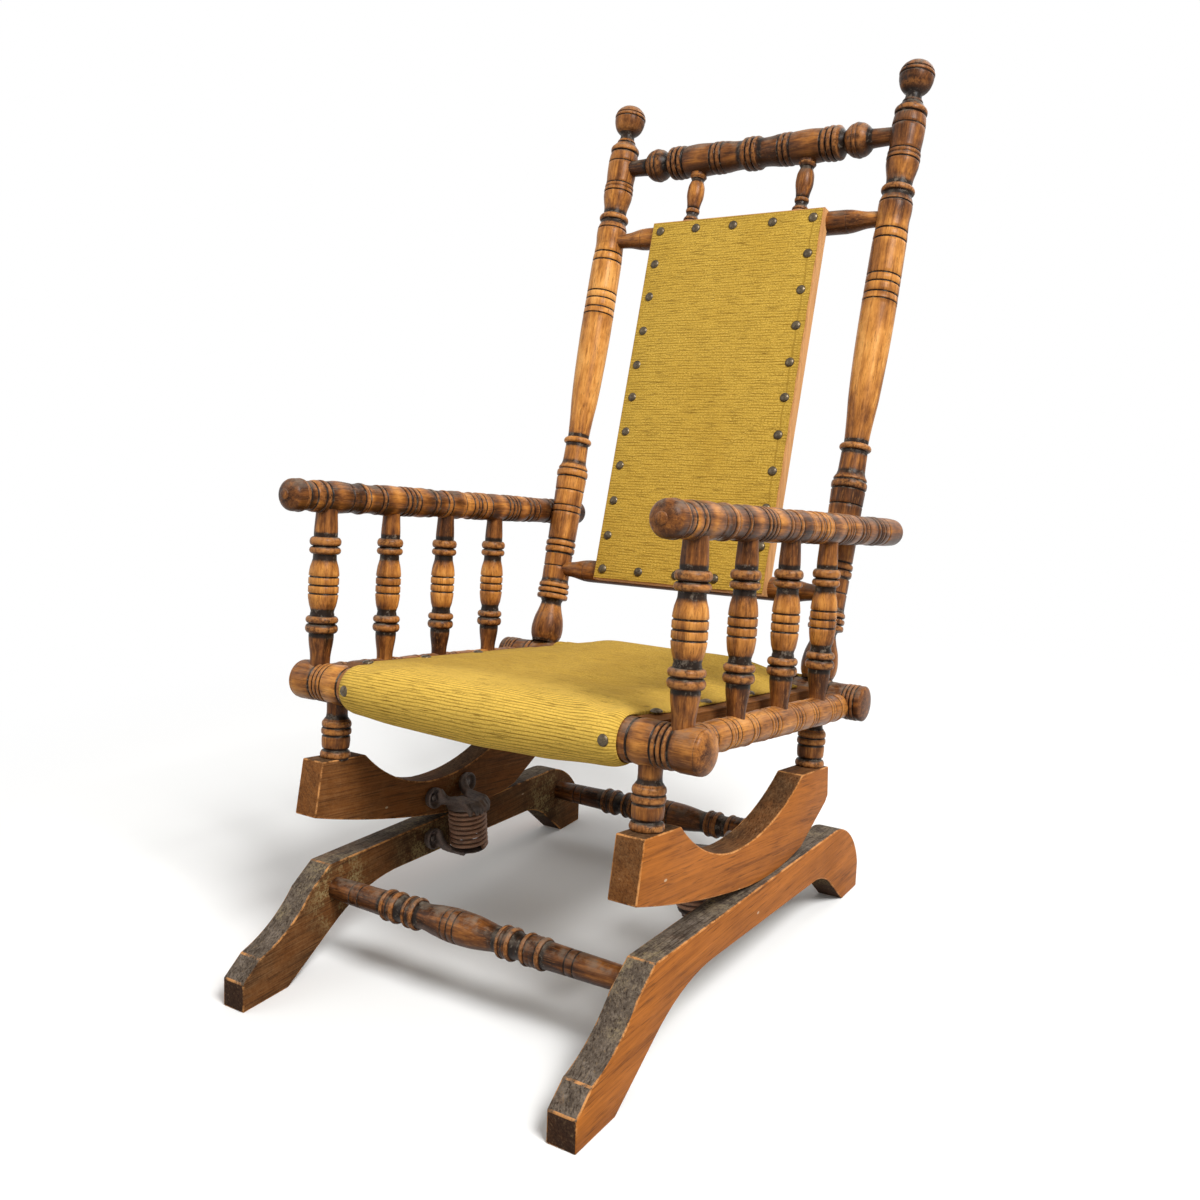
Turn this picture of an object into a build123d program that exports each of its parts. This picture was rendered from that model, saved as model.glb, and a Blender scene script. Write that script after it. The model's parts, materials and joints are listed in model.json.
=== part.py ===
from build123d import *
import math
import os

os.makedirs("parts", exist_ok=True)

# Platform rocker: a turned armchair whose bowed rockers roll on a low platform,
# held to it by two coil springs.  Lengths in millimetres, angles in degrees.
# The chair faces -Y and stands on z = 0.  Chair pieces are laid out upright in the
# chair's own frame (x across, v back, w up, origin under the rocking centre) and
# are then leaned back together by chair_place.

# ---------------------------------------------------------------- driving sizes
# stance
rocker_radius = 384.0       # underside of the rocker; the arm rails lie at this height
recline = 9.5               # lean of the chair on its springs at rest
deck_slope = 2.7            # rise of the platform's top towards the front
deck_height = 103.4         # platform top above the floor, under the rocking centre line
roll_gap = 0.3              # rocker to platform, where they roll on each other
joint_fit = 0.05            # play of a tenon in its socket, and of the rocking pin
cloth_gap = 0.3             # upholstery to the wood under it
flats = 10                  # flats round each turned piece, which keep its many beads light
pin_flats = 8               # and round small arms, tacks and screw heads
brad_flats = 16             # the brads turn in their holes, so they are rounder

# platform sides
side_x = 215.0
side_thick = 32.0
toe_reach = 408.7
toe_height = 31.0
toe_slant = 18.0
deck_front = 273.0
deck_back = 143.0
heel_reach = 210.0
heel_height = 30.0
heel_sole = 50.0
toe_sole = 62.0
arch_front = 160.0
arch_back = 85.0
arch_front_height = 70.0
arch_back_height = 54.5

# platform stretchers
stretcher_end_r = 12.5
stretcher_bead_r = 17.6
stretcher_vase_r = 18.0
stretcher_waist_r = 13.0
stretcher_tenon = 18.0
stretcher_shift = 12.0      # the pattern was turned this far towards the right end
stretcher_outer_rings = 97.5
stretcher_inner_rings = 64.5
stretcher_vase_half = 12.0
front_stretcher_y = -266.7
front_stretcher_z = 84.7
rear_stretcher_y = 160.9
rear_stretcher_z = 59.9

# rockers, in the chair's frame
rocker_x = 209.0
rocker_thick = 32.0
rocker_arc_front = 3.5      # the true arc runs this far ahead of the lowest point
rocker_arc_back = 17.5      # and this far behind it
rocker_toe = 240.0
rocker_toe_low = 31.8
rocker_toe_high = 93.0
rocker_toe_slant = 7.5
rocker_toe_pad = 70.0
rocker_scoop_v = -55.0
rocker_scoop_w = 46.0
rocker_heel = 183.0
rocker_heel_low = 60.0
rocker_heel_high = 103.0
rocker_heel_pad = 77.0

# short legs between the rockers and the seat rails
leg_x = 207.0
leg_neck_r = 11.7
leg_body_r = 15.2
leg_ring_r = 16.8
leg_foot_tenon = 16.0
leg_head_short = 4.0        # the upper tenon stops this far below the rail's axis

# seat rails
front_rail_v = -201.0
front_rail_w = 175.0
front_rail_r = 22.5
front_rail_half = 271.0
rear_rail_v = 173.0
rear_rail_w = 184.0
rear_rail_r = 21.5
rear_rail_half = 268.0
rear_leg_v = 163.0
side_rail_inset = 32.5      # side rails and arms stand this far inside the front rail's ends
side_rail_w = 179.0
side_rail_r = 15.5
side_rail_tenon_r = 9.0
inner_rail_x = 200.0
inner_rail_wide = 28.0
inner_rail_high = 26.0
inner_rail_top = 197.0

# arms and arm spindles
arm_r = 17.3
arm_front = 264.0
arm_back = 288.0
arm_bead = 1.6
arm_ring_wide = 9.0
arm_rings = (32, 48, 111, 139, 182, 194, 231, 255, 285, 311, 337, 377, 389, 424, 469, 485)  # from the front
front_spindle_end_r = 11.0
front_spindle_barrel_r = 17.0
spindle_end_r = 9.3
spindle_barrel_r = 14.8
spindle_foot = 32.0
spindle_neck = 27.0
spindle_bead = 11.0
spindle_spacing = 97.5
tenon_past_axis = 8.0
pin_r = 1.5
pin_length = 29.0

# back posts
post_lean = 10.88
post_splay = 0.72
post_foot_x = 202.0
post_r = 20.4
post_bulb_r = 21.6
post_slim_r = 14.6
post_tenon_r = 10.0
finial_r = 21.6
finial_neck_r = 10.0
finial_at = 777.0
post_foot_rings = 80.0      # places up the post from the rear rail's axis
post_arm_rings = 143.0
post_shoulder = 253.0
post_collar = 300.0
post_swell = 344.0          # and places down from the middle of the finial
post_low_band = 290.0
post_mid_band = 268.0
post_high_band = 215.0
post_crown_band = 168.0
post_flange = 151.0
post_cap = 50.0
lower_rail_at = 124.0
upper_rail_at = 596.0
crest_rail_at = 704.0
back_rail_r = 14.6
back_rail_end_r = 9.0
back_rail_taper = 26.0
crest_body_r = 21.6
crest_bead_r = 22.9
crest_end_r = 10.5
crest_ball_x = 148.0
crest_ball_wide = 30.0
crest_ring_x = 114.0
crest_ring_wide = 11.0
crest_band_x = 50.0
crest_band_wide = 14.0
crest_spindle_x = 81.0
crest_spindle_r = 12.4
crest_peg_r = 6.8

# back panel
panel_half = 126.0
panel_over = 12.0
stile_wide = 30.0
stile_thick = 15.0
stile_set = 6.5             # stile back face ahead of the rail axes
batten_high = 30.0
cloth_thick = 2.4
cloth_crown = 2.0
lining_thick = 1.0

# seat upholstery
seat_half = 183.0           # half width where it wraps the front rail
seat_flange = 199.0         # half width where it is tacked down on the inner rails
seat_thick = 16.0
seat_dip = 2.5
seat_dip_back = 90.0        # the dip's lowest place, behind the front rail
seat_rise = 100.0           # length of the rise from the dip to the crown
cloth_flats = 6             # flats along each curve of the stuffed seat
seat_crown_back = 12.0
seat_crown_v = 120.0
seat_wrap = 5.0
webbing_thick = 2.0
webbing_wide = 46.0
webbing_count = 4

# tacks
tack_r = 6.2
tack_high = 3.4
tack_inset = 13.5
back_tack_rows = 10
back_tack_columns = 5
seat_tack_first = -172.0
seat_tack_pitch = 97.0
seat_tacks_a_side = 3

# springs and their cast brackets
coil_x = 163.0
coil_y = -78.7
coil_low = 76.0
coil_mean_r = 21.4
coil_wire_r = 2.45
coil_pitch = 5.95
coil_turns = 8.0
coil_wire_sides = 4
cup_wall = 3.4
cup_lip = 4.5
cup_play = 1.6
cup_eye_r = 12.0
ear_r = 10.5
ear_thick = 7.0
ear_spread = 31.0
ear_rise = 12.0
bracket_arm_r = 6.0
screw_head_r = 5.0
screw_head_high = 2.4
ear_scoop = 2.6

# ---------------------------------------------------------------- derived layout
arm_w = rocker_radius
side_rail_x = front_rail_half - side_rail_inset
deck_tan = math.tan(math.radians(deck_slope))
contact_y = -rocker_radius * math.sin(math.radians(deck_slope))
centre_z = deck_height + (rocker_radius + roll_gap) * math.cos(math.radians(deck_slope))
lean_sin = math.sin(math.radians(post_lean))
lean_cos = math.cos(math.radians(post_lean))


def chair_reach(v, w):
    """How far behind the rocking centre a point of the chair lies at rest."""
    tilt = math.radians(recline)
    return v * math.cos(tilt) + (w - rocker_radius) * math.sin(tilt)


finial_back = chair_reach(rear_rail_v + finial_at * lean_sin,
                          rear_rail_w + finial_at * lean_cos) + finial_r
origin_y = (finial_back - toe_reach) / 2
base_place = Location((0, -origin_y, 0))
chair_place = (Location((0, -origin_y, centre_z))
               * Rotation(-recline, 0, 0)
               * Location((0, 0, -rocker_radius)))
panel_face = stile_set + stile_thick + cloth_gap
back_plane = Plane(origin=(0, rear_rail_v, rear_rail_w), x_dir=(1, 0, 0),
                   z_dir=(0, -lean_cos, lean_sin))

written = []


def save(name, solid, place=None):
    """Write one piece, or a group of like pieces, in the part's frame."""
    placed = place * solid if place is not None else solid
    placed.label = name
    export_step(placed, f"parts/{name}.step")
    written.append(name)


# ---------------------------------------------------------------- lathe profiles
class Turning:
    """A lathe profile, drawn from one end of the piece to the other."""

    def __init__(self, radius):
        self.points = [(0.0, 0.0), (radius, 0.0)]

    @property
    def radius(self):
        return self.points[-1][0]

    @property
    def length(self):
        return self.points[-1][1]

    def run(self, length, radius=None):
        """A straight or tapered stretch."""
        end = self.radius if radius is None else radius
        self.points.append((end, self.length + length))
        return self

    def to(self, place, radius=None):
        """A straight or tapered stretch that ends at a place along the piece."""
        return self.run(place - self.length, radius)

    def step(self, radius):
        """A square shoulder."""
        self.points.append((radius, self.length))
        return self

    def bead(self, width, top):
        """A raised ring with a crest of radius top."""
        low = self.radius
        self.run(width / 2, top)
        self.run(width / 2, low)
        return self

    def beads(self, count, width, top):
        """Rings side by side."""
        for _ in range(count):
            self.bead(width, top)
        return self

    def swell(self, length, top, end):
        """A barrel: out, along and in again."""
        self.run(length * 0.3, top)
        self.run(length * 0.35)
        self.run(length * 0.35, end)
        return self

    def mirrored(self):
        """Repeat the profile in reverse, so that both ends are alike."""
        full = self.length * 2
        self.points += [(r, full - z) for r, z in reversed(self.points[1:-1])]
        return self

    def solid(self, sides=flats):
        outline = [p for k, p in enumerate(self.points) if k == 0 or p != self.points[k - 1]]
        if outline[-1][0] > 0:
            outline.append((0.0, self.length))
        return lathe(outline, sides)


def ring(radius, height, sides):
    turns = (2 * math.pi * k / sides for k in range(sides))
    return [Vector(radius * math.cos(a), radius * math.sin(a), height) for a in turns]


def lathe(outline, sides):
    """A piece with the given (radius, height) outline and a number of equal flats round it."""
    faces = []
    for (r0, z0), (r1, z1) in zip(outline, outline[1:]):
        low, high = ring(r0, z0, sides), ring(r1, z1, sides)
        if r0 == 0 and z0 == z1:
            faces.append(Face(Wire.make_polygon(high[::-1], close=True)))
            continue
        if r1 == 0 and z0 == z1:
            faces.append(Face(Wire.make_polygon(low, close=True)))
            continue
        for k in range(sides):
            n = (k + 1) % sides
            corners = [low[k], low[n], high[n], high[k]]
            if r0 == 0:
                corners = [low[k], high[n], high[k]]
            if r1 == 0:
                corners = [low[k], low[n], high[k]]
            faces.append(Face(Wire.make_polygon(corners, close=True)))
    return Solid(Shell(faces))


def along(start, end):
    """The place of a turned piece whose axis runs from start towards end."""
    direction = Vector(*end) - Vector(*start)
    return Plane(origin=start, z_dir=direction).location


def rod(start, end, radius, sides=flats):
    """A plain bar between two points, with the flats of the piece that it fits."""
    length = (Vector(*end) - Vector(*start)).length
    return along(start, end) * Turning(radius).run(length).solid(sides)


def board(face, thickness, x_middle):
    """A flat board from an outline in the YZ plane."""
    return Location((x_middle - thickness / 2, 0, 0)) * extrude(face, thickness, dir=(1, 0, 0))


def flattened(curve, steps):
    """Corners of a plane curve drawn as short flats."""
    return [tuple(curve @ (k / steps))[:2] for k in range(steps + 1)]


def outline_face(*edges):
    return Plane.YZ * make_face(Curve() + list(edges))


# ---------------------------------------------------------------- platform
def deck_z(y):
    """Height of the platform's top at a distance behind the rocking centre."""
    return deck_height - (y - contact_y) * deck_tan


def stretcher_points():
    return {
        "base_front_stretcher": (front_stretcher_y, front_stretcher_z),
        "base_rear_stretcher": (rear_stretcher_y, rear_stretcher_z),
    }


def base_side_outline():
    toe_top = (-toe_reach + 3.5, toe_height)
    instep = (-toe_reach + 28, toe_height + toe_slant)
    knee = (-deck_front - 31, deck_z(-deck_front) - 20)
    hollow = ((instep[0] + knee[0]) / 2 + 3, (instep[1] + knee[1]) / 2 - 6)
    front = (-deck_front, deck_z(-deck_front))
    back = (deck_back, deck_z(deck_back))
    heel = (heel_reach - 2, heel_height)
    crown = ((back[0] + heel[0]) / 2 + 12, (back[1] + heel[1]) / 2 + 10)
    sole_back = (heel_reach - 6, 0)
    sole_front = (heel_reach - heel_sole, 0)
    heel_top = (arch_back + 38, arch_back_height - 18)
    arch_rear = (arch_back, arch_back_height)
    arch_fore = (-arch_front, arch_front_height)
    shin = (-deck_front + 5, deck_z(-deck_front) - 68)
    shoulder = ((arch_fore[0] + shin[0]) / 2 - 6, (arch_fore[1] + shin[1]) / 2 + 7)
    return outline_face(
        Polyline((-toe_reach, 0), toe_top, instep),
        ThreePointArc(instep, hollow, knee),
        Polyline(knee, front, back),
        ThreePointArc(back, crown, heel),
        Polyline(heel, sole_back, sole_front, heel_top),
        ThreePointArc(heel_top, ((heel_top[0] + arch_rear[0]) / 2 - 2, arch_rear[1] - 5), arch_rear),
        Line(arch_rear, arch_fore),
        ThreePointArc(arch_fore, shoulder, shin),
        Polyline(shin, (-toe_reach + toe_sole, 0), (-toe_reach, 0)),
    )


def base_side(side):
    blank = board(base_side_outline(), side_thick, side * side_x)
    inner = side_x - side_thick / 2
    for y, z in stretcher_points().values():
        deep = side * (inner + stretcher_tenon)
        mouth = side * (inner - 1)
        blank -= rod((mouth, y, z), (deep, y, z), stretcher_end_r + joint_fit)
    return blank


def stretcher(y, z):
    """A turned rail between the platform sides: a vase between two pairs of spools."""
    inner = side_x - side_thick / 2
    half = inner + stretcher_tenon - joint_fit
    middle = half - stretcher_shift
    t = Turning(stretcher_end_r)
    t.run(stretcher_tenon)
    for rings in (stretcher_outer_rings, stretcher_inner_rings):
        t.to(middle - rings - 10, stretcher_waist_r)
        t.beads(2, 10, stretcher_bead_r)
    t.to(middle - stretcher_vase_half, stretcher_vase_r)
    t.run(stretcher_vase_half)
    t.mirrored()
    t.to(2 * half, stretcher_end_r)
    return along((-half, y, z), (half, y, z)) * t.solid()


# ---------------------------------------------------------------- springs
def coil_frame(turn):
    """Point and direction of the coil's wire, in the coil's own frame."""
    angle = 2 * math.pi * turn
    slope = coil_pitch / (2 * math.pi)
    point = Vector(coil_mean_r * math.cos(angle), coil_mean_r * math.sin(angle),
                   coil_pitch * turn)
    ahead = Vector(-coil_mean_r * math.sin(angle), coil_mean_r * math.cos(angle), slope)
    return point, ahead.normalized()


def biarc(first, second):
    """Two arcs that leave and arrive along the given directions."""
    (p0, t0), (p1, t1) = first, second
    chord = p1 - p0
    lead = t0 + t1
    a = 2 * (t0.dot(t1) - 1)
    b = -2 * chord.dot(lead)
    c = chord.dot(chord)
    reach = (-b - math.sqrt(b * b - 4 * a * c)) / (2 * a)
    middle = (p0 + t0 * reach + p1 - t1 * reach) * 0.5
    return [Edge.make_tangent_arc(p0, t0, middle),
            Edge.make_tangent_arc(p1, t1 * -1, middle)]


def coil():
    """A close coil of one wire, its turns laid on half-turn biarcs."""
    halves = round(coil_turns * 2)
    stations = [coil_frame(k / 2) for k in range(halves + 1)]
    edges = []
    for k in range(halves):
        edges += biarc(stations[k], stations[k + 1])
    path = Wire(edges)
    start, ahead = stations[0]
    section = Plane(origin=start, x_dir=(0, 0, 1), z_dir=ahead)
    return sweep(section * RegularPolygon(coil_wire_r, coil_wire_sides), path)


def coil_self_gap():
    """Least clear distance between neighbouring turns, measured on points."""
    steps = 24
    points = [coil_frame(k / steps)[0] for k in range(round(coil_turns * steps) + 1)]
    least = min((points[i] - points[j]).length
                for i in range(len(points))
                for j in range(i + steps // 2, len(points)))
    return least - 2 * coil_wire_r


coil_high = coil_low + coil_pitch * coil_turns
cup_r = coil_mean_r + coil_wire_r + cup_play


def ear_height(seat_z, upward):
    """Both brackets' ears stand above their cups: on the rocker, or on the platform side."""
    return seat_z + (cup_wall + ear_rise if upward else ear_rise + 2)


def spring_bracket(side, face_x, seat_z, upward):
    """A cast bracket: a cup on the coil's end, two arms and two screwed ears."""
    grow = 1 if upward else -1
    ear_z = ear_height(seat_z, upward)
    outer = cup_r + cup_wall
    cup = Turning(outer).run(cup_wall + cup_lip).solid()
    cup -= Location((0, 0, cup_wall)) * Turning(cup_r).run(cup_lip + 1).solid()
    cup -= Location((0, 0, -1)) * Turning(cup_eye_r).run(cup_wall + 2).solid()
    cup -= Location((-side * cup_r, 0, 0)) * Box(cup_r, cup_eye_r, 4 * cup_lip)
    base = seat_z + grow * cup_wall
    body = Plane(origin=(side * coil_x, coil_y, base), x_dir=(1, 0, 0), z_dir=(0, 0, -grow)).location * cup
    face = side * face_x
    for way in (-1, 1):
        ear_y = coil_y + way * ear_spread
        body += rod((face, ear_y, ear_z), (face - side * ear_thick, ear_y, ear_z), ear_r)
        root = (face - side * (ear_thick - bracket_arm_r * 0.2), ear_y - way * 2, ear_z - 3)
        rim = (side * (coil_x + cup_r * 0.62), coil_y + way * cup_r * 0.78, seat_z + grow * cup_wall * 0.6)
        length = (Vector(*rim) - Vector(*root)).length
        arm = along(root, rim) * Turning(bracket_arm_r).run(length, cup_wall * 0.9).solid(pin_flats)
        body += arm
    pocket = Plane(origin=(side * coil_x, coil_y, seat_z), z_dir=(0, 0, -grow)).location
    body -= pocket * Turning(cup_r).run(2 * cup_lip).solid()
    body -= Location((side * (face_x + 50), coil_y, seat_z)) * Box(100, 400, 400)
    scoop = face_x - ear_thick + ear_scoop
    for way in (-1, 1):
        y = coil_y + way * ear_spread
        body -= rod((side * scoop, y, ear_z), (side * (scoop - 20), y, ear_z), screw_head_r + 1.5)
    return body


def bracket_screws(side, face_x, seat_z, upward):
    """Two round heads a bracket, on its ears."""
    heads = []
    for way in (-1, 1):
        y = coil_y + way * ear_spread
        z = ear_height(seat_z, upward)
        x = side * (face_x - ear_thick + ear_scoop - 0.02)
        head = Turning(screw_head_r).run(screw_head_high, screw_head_r * 0.6).solid(pin_flats)
        heads.append(along((x, y, z), (x - side, y, z)) * head)
    return heads


# ---------------------------------------------------------------- rockers and legs
def rocker_point(angle):
    """A point of the underside's arc, by its angle behind straight down."""
    turn = math.radians(angle)
    return (rocker_radius * math.sin(turn), rocker_radius * (1 - math.cos(turn)))


def rocker_outline():
    arc_front = rocker_point(-rocker_arc_front)
    arc_mid = rocker_point((rocker_arc_back - rocker_arc_front) / 2)
    arc_back = rocker_point(rocker_arc_back)
    ahead = math.radians(rocker_arc_front)
    toe_low = (-rocker_toe, rocker_toe_low)
    toe_high = (-rocker_toe + rocker_toe_slant, rocker_toe_high)
    pad_end = (toe_high[0] + rocker_toe_pad - 4, rocker_toe_high)
    scoop = (rocker_scoop_v, rocker_scoop_w)
    heel_pad = (rocker_heel - rocker_heel_pad, rocker_heel_high)
    heel_top = (rocker_heel - 5, rocker_heel_high)
    heel_back = (rocker_heel, rocker_heel_low + 8)
    heel_low = (rocker_heel - 6, rocker_heel_low)
    drop = ((pad_end[0] + scoop[0]) / 2 - 10, (pad_end[1] + scoop[1]) / 2 - 7)
    climb = ((scoop[0] + heel_pad[0]) / 2 + 8, (scoop[1] + heel_pad[1]) / 2 - 13)
    return outline_face(
        ThreePointArc(arc_front, arc_mid, arc_back),
        Polyline(arc_back, heel_low, heel_back, heel_top, heel_pad),
        ThreePointArc(heel_pad, climb, scoop),
        ThreePointArc(scoop, drop, pad_end),
        Polyline(pad_end, toe_high, toe_low),
        TangentArc(arc_front, toe_low, tangent=(-math.cos(ahead), math.sin(ahead))),
    )


def leg_ends():
    """Where each short leg stands: (v, pad height, top of its upper tenon)."""
    return {
        "front": (front_rail_v, rocker_toe_high, front_rail_w - leg_head_short),
        "rear": (rear_leg_v, rocker_heel_high, rear_rail_w - leg_head_short),
    }


def rocker(side):
    blank = board(rocker_outline(), rocker_thick, side * rocker_x)
    for v, pad, _ in leg_ends().values():
        blank -= rod((side * leg_x, v, pad - leg_foot_tenon), (side * leg_x, v, pad + 1),
                     leg_neck_r - 2 + joint_fit)
    return blank


def short_leg(side, v, pad, head):
    """A stubby turned leg with a ring at its foot and one under its neck."""
    t = Turning(leg_neck_r - 2)
    t.run(leg_foot_tenon - joint_fit)
    t.step(leg_body_r)
    t.bead(10, leg_ring_r)
    t.run(13)
    t.beads(2, 8, leg_ring_r)
    t.run(8, leg_neck_r)
    t.run(head - pad + leg_foot_tenon - joint_fit - t.length)
    x = side * leg_x
    start = pad - leg_foot_tenon + joint_fit
    return along((x, v, start), (x, v, head)) * t.solid()


# ---------------------------------------------------------------- seat frame
def spindle_stations():
    """v of each arm spindle; the third stands under the rocking centre."""
    return [front_rail_v, -spindle_spacing, 0.0, spindle_spacing]


def rail_hole(rail_v, rail_w, rail_r, rail_half):
    """The room that a turned seat rail takes out of what is coped round it."""
    return rod((-rail_half, rail_v, rail_w), (rail_half, rail_v, rail_w), rail_r + joint_fit)


def front_rail_hole():
    return rail_hole(front_rail_v, front_rail_w, front_rail_r, front_rail_half)


def rear_rail_hole():
    return rail_hole(rear_rail_v, rear_rail_w, rear_rail_r, rear_rail_half)


def leg_socket(side, v, rail_w, rail_r):
    x = side * leg_x
    return rod((x, v, rail_w - rail_r - 2), (x, v, rail_w - leg_head_short + joint_fit),
               leg_neck_r + joint_fit)


def front_rail():
    plain = seat_half + 4
    t = Turning(front_rail_r - 8)
    t.run(5, front_rail_r - 1)
    t.run(30, front_rail_r)
    t.bead(7, front_rail_r - 2)
    t.run(10)
    t.bead(7, front_rail_r - 2)
    t.run(front_rail_half - plain - t.length - 7)
    t.bead(7, front_rail_r - 2)
    t.run(plain)
    t.mirrored()
    start = (-front_rail_half, front_rail_v, front_rail_w)
    rail = along(start, (0, front_rail_v, front_rail_w)) * t.solid()
    for side in (-1, 1):
        rail -= leg_socket(side, front_rail_v, front_rail_w, front_rail_r)
        x = side * side_rail_x
        rail -= rod((x, front_rail_v, front_rail_w - joint_fit),
                    (x, front_rail_v, front_rail_w + front_rail_r + 2),
                    front_spindle_end_r + joint_fit)
        rail -= side_rail_tenon(side, -1, joint_fit)
    return rail


def rear_rail():
    t = Turning(rear_rail_r - 8)
    t.run(5, rear_rail_r - 1)
    t.run(13, rear_rail_r)
    t.beads(2, 6, rear_rail_r - 1.8)
    t.run(rear_rail_half - t.length)
    t.mirrored()
    start = (-rear_rail_half, rear_rail_v, rear_rail_w)
    rail = along(start, (0, rear_rail_v, rear_rail_w)) * t.solid()
    for side in (-1, 1):
        rail -= leg_socket(side, rear_leg_v, rear_rail_w, rear_rail_r)
        rail -= side_rail_tenon(side, 1, joint_fit)
        rail -= post_tenon(side, joint_fit)
    return rail


def side_rail_tenon(side, end, play=0.0):
    """The round end of a turned side rail, in the front (-1) or rear (1) rail."""
    x = side * side_rail_x
    if end < 0:
        mouth = front_rail_v + front_rail_r + 12
        deep = front_rail_v + front_spindle_end_r + 2 - play
    else:
        mouth = rear_rail_v - rear_rail_r - 12
        deep = rear_rail_v - 4 + play
    return rod((x, mouth, side_rail_w), (x, deep, side_rail_w), side_rail_tenon_r + play)


def side_rail(side):
    length = rear_rail_v - front_rail_v
    t = Turning(side_rail_r)
    t.run(56)
    t.bead(8, side_rail_r - 1.8)
    t.run(length / 2 - t.length - 36, side_rail_r + 0.8)
    t.beads(2, 12, side_rail_r - 1.4)
    t.run(12)
    t.mirrored()
    x = side * side_rail_x
    rail = along((x, front_rail_v, side_rail_w), (x, rear_rail_v, side_rail_w)) * t.solid()
    for v in spindle_stations()[1:]:
        rail -= rod((x, v, side_rail_w - joint_fit), (x, v, side_rail_w + side_rail_r + 2),
                    spindle_end_r + joint_fit)
    rail -= rod((x, front_rail_v, side_rail_w), (x, front_rail_v, side_rail_w + side_rail_r + 2),
                front_spindle_end_r + 1)
    rail = (rail - front_rail_hole() - rear_rail_hole()).solids().sort_by(SortBy.VOLUME)[-1]
    return rail + side_rail_tenon(side, -1) + side_rail_tenon(side, 1)


def inner_rail(side):
    """A squared rail inside the turned one; the seat cover is tacked to its top."""
    middle = (side * inner_rail_x, (front_rail_v + rear_rail_v) / 2, inner_rail_top - inner_rail_high / 2)
    rail = Location(middle) * Box(inner_rail_wide, rear_rail_v - front_rail_v, inner_rail_high)
    rail = rail - front_rail_hole() - rear_rail_hole()
    rail -= leg_socket(side, rear_leg_v, rear_rail_w, rear_rail_r)
    return rail.solids().sort_by(SortBy.VOLUME)[-1]


# ---------------------------------------------------------------- back
def post_point(side, at):
    """A point of a back post's axis, at a distance up from the rear rail's axis."""
    x = post_foot_x + at * math.tan(math.radians(post_splay))
    return (side * x, rear_rail_v + at * lean_sin, rear_rail_w + at * lean_cos)


def post_tenon(side, play=0.0):
    return rod(post_point(side, 3 - play), post_point(side, rear_rail_r + 6), post_tenon_r + play)


def back_rails():
    """The three cross rails: (distance up the posts, radius of the round end)."""
    return {
        "lower": (lower_rail_at, back_rail_end_r),
        "upper": (upper_rail_at, back_rail_end_r),
        "crest": (crest_rail_at, crest_end_r),
    }


def back_post(side):
    """A tall turned post: bulb foot, ringed shaft, long tapered column, flanges and finial."""
    t = Turning(post_tenon_r + 4)
    t.run(4)
    t.run(18, post_bulb_r)
    t.run(16)
    t.to(post_foot_rings, 13.8)
    t.beads(2, 12, post_bulb_r)
    t.step(post_r - 1.6)
    t.to(post_arm_rings)
    t.beads(2, 11, post_r)
    t.to(post_shoulder, post_r)
    t.bead(9, post_r + 1)
    t.step(post_r - 3)
    t.to(post_collar, post_r - 4.8)
    t.bead(9, post_r - 0.8)
    t.step(post_slim_r)
    t.to(finial_at - post_swell, post_r + 0.6)
    t.to(finial_at - post_low_band)
    t.bead(9, post_r - 1.4)
    t.to(finial_at - post_mid_band)
    t.bead(10, post_r - 1.4)
    t.to(finial_at - post_high_band)
    t.beads(2, 8, post_r - 1.5)
    t.to(finial_at - post_crown_band)
    t.bead(8, post_r - 1.2)
    t.to(finial_at - post_flange, post_r - 3)
    t.bead(9, post_r + 1.4)
    t.step(post_r - 4.4)
    t.run(28, post_r)
    t.bead(16, post_r - 1.4)
    t.to(finial_at - post_cap, post_r - 2)
    t.bead(10, post_r)
    t.step(finial_neck_r)
    t.to(finial_at - finial_r * 0.88)
    t.run(finial_r * 0.38, finial_r * 0.87)
    t.run(finial_r * 0.5, finial_r)
    t.run(finial_r * 0.4, finial_r * 0.92)
    t.run(finial_r * 0.35, finial_r * 0.66)
    t.run(finial_r * 0.25, 0)
    low, high = post_point(side, 0), post_point(side, finial_at)
    post = along(low, high) * t.solid() - rear_rail_hole()
    post = post.solids().sort_by(SortBy.VOLUME)[-1] + post_tenon(side)
    for at, radius in back_rails().values():
        x, v, w = post_point(side, at)
        post -= rod((x - side * (post_r + 3), v, w), (x + side * joint_fit, v, w),
                    radius + joint_fit)
    return post


def cross_rail(at):
    """A plain round rail, tapered where it enters the posts."""
    half, v, w = post_point(1, at)
    t = Turning(back_rail_end_r)
    t.run(post_r + 2)
    t.run(back_rail_taper, back_rail_r)
    t.run(half - t.length)
    t.mirrored()
    return along((-half, v, w), (half, v, w)) * t.solid()


def upper_rail():
    rail = cross_rail(upper_rail_at)
    return rail - crest_spindle_sockets(upper_rail_at, back_rail_r, 1)


def crest_rail():
    """The top rail: a ball and rings at each end, and a banded body between them."""
    half, v, w = post_point(1, crest_rail_at)
    t = Turning(crest_end_r)
    t.run(post_r + 2)
    t.to(half - crest_ball_x - crest_ball_wide / 2, crest_end_r + 2)
    t.bead(crest_ball_wide, crest_body_r + 0.6)
    t.to(half - crest_ring_x - crest_ring_wide, crest_body_r - 5)
    t.beads(2, crest_ring_wide, crest_bead_r)
    t.step(crest_body_r - 1.5)
    clear = crest_ring_x - crest_ring_wide - crest_band_x - crest_band_wide / 2
    t.swell(clear, crest_body_r, crest_body_r - 2)
    t.bead(crest_band_wide, crest_body_r)
    t.to(half - crest_ring_wide, crest_body_r - 2.5)
    t.run(crest_ring_wide / 2, crest_body_r)
    t.run(crest_ring_wide / 2)
    t.mirrored()
    rail = along((-half, v, w), (half, v, w)) * t.solid()
    return rail - crest_spindle_sockets(crest_rail_at, crest_body_r, -1)


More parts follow.
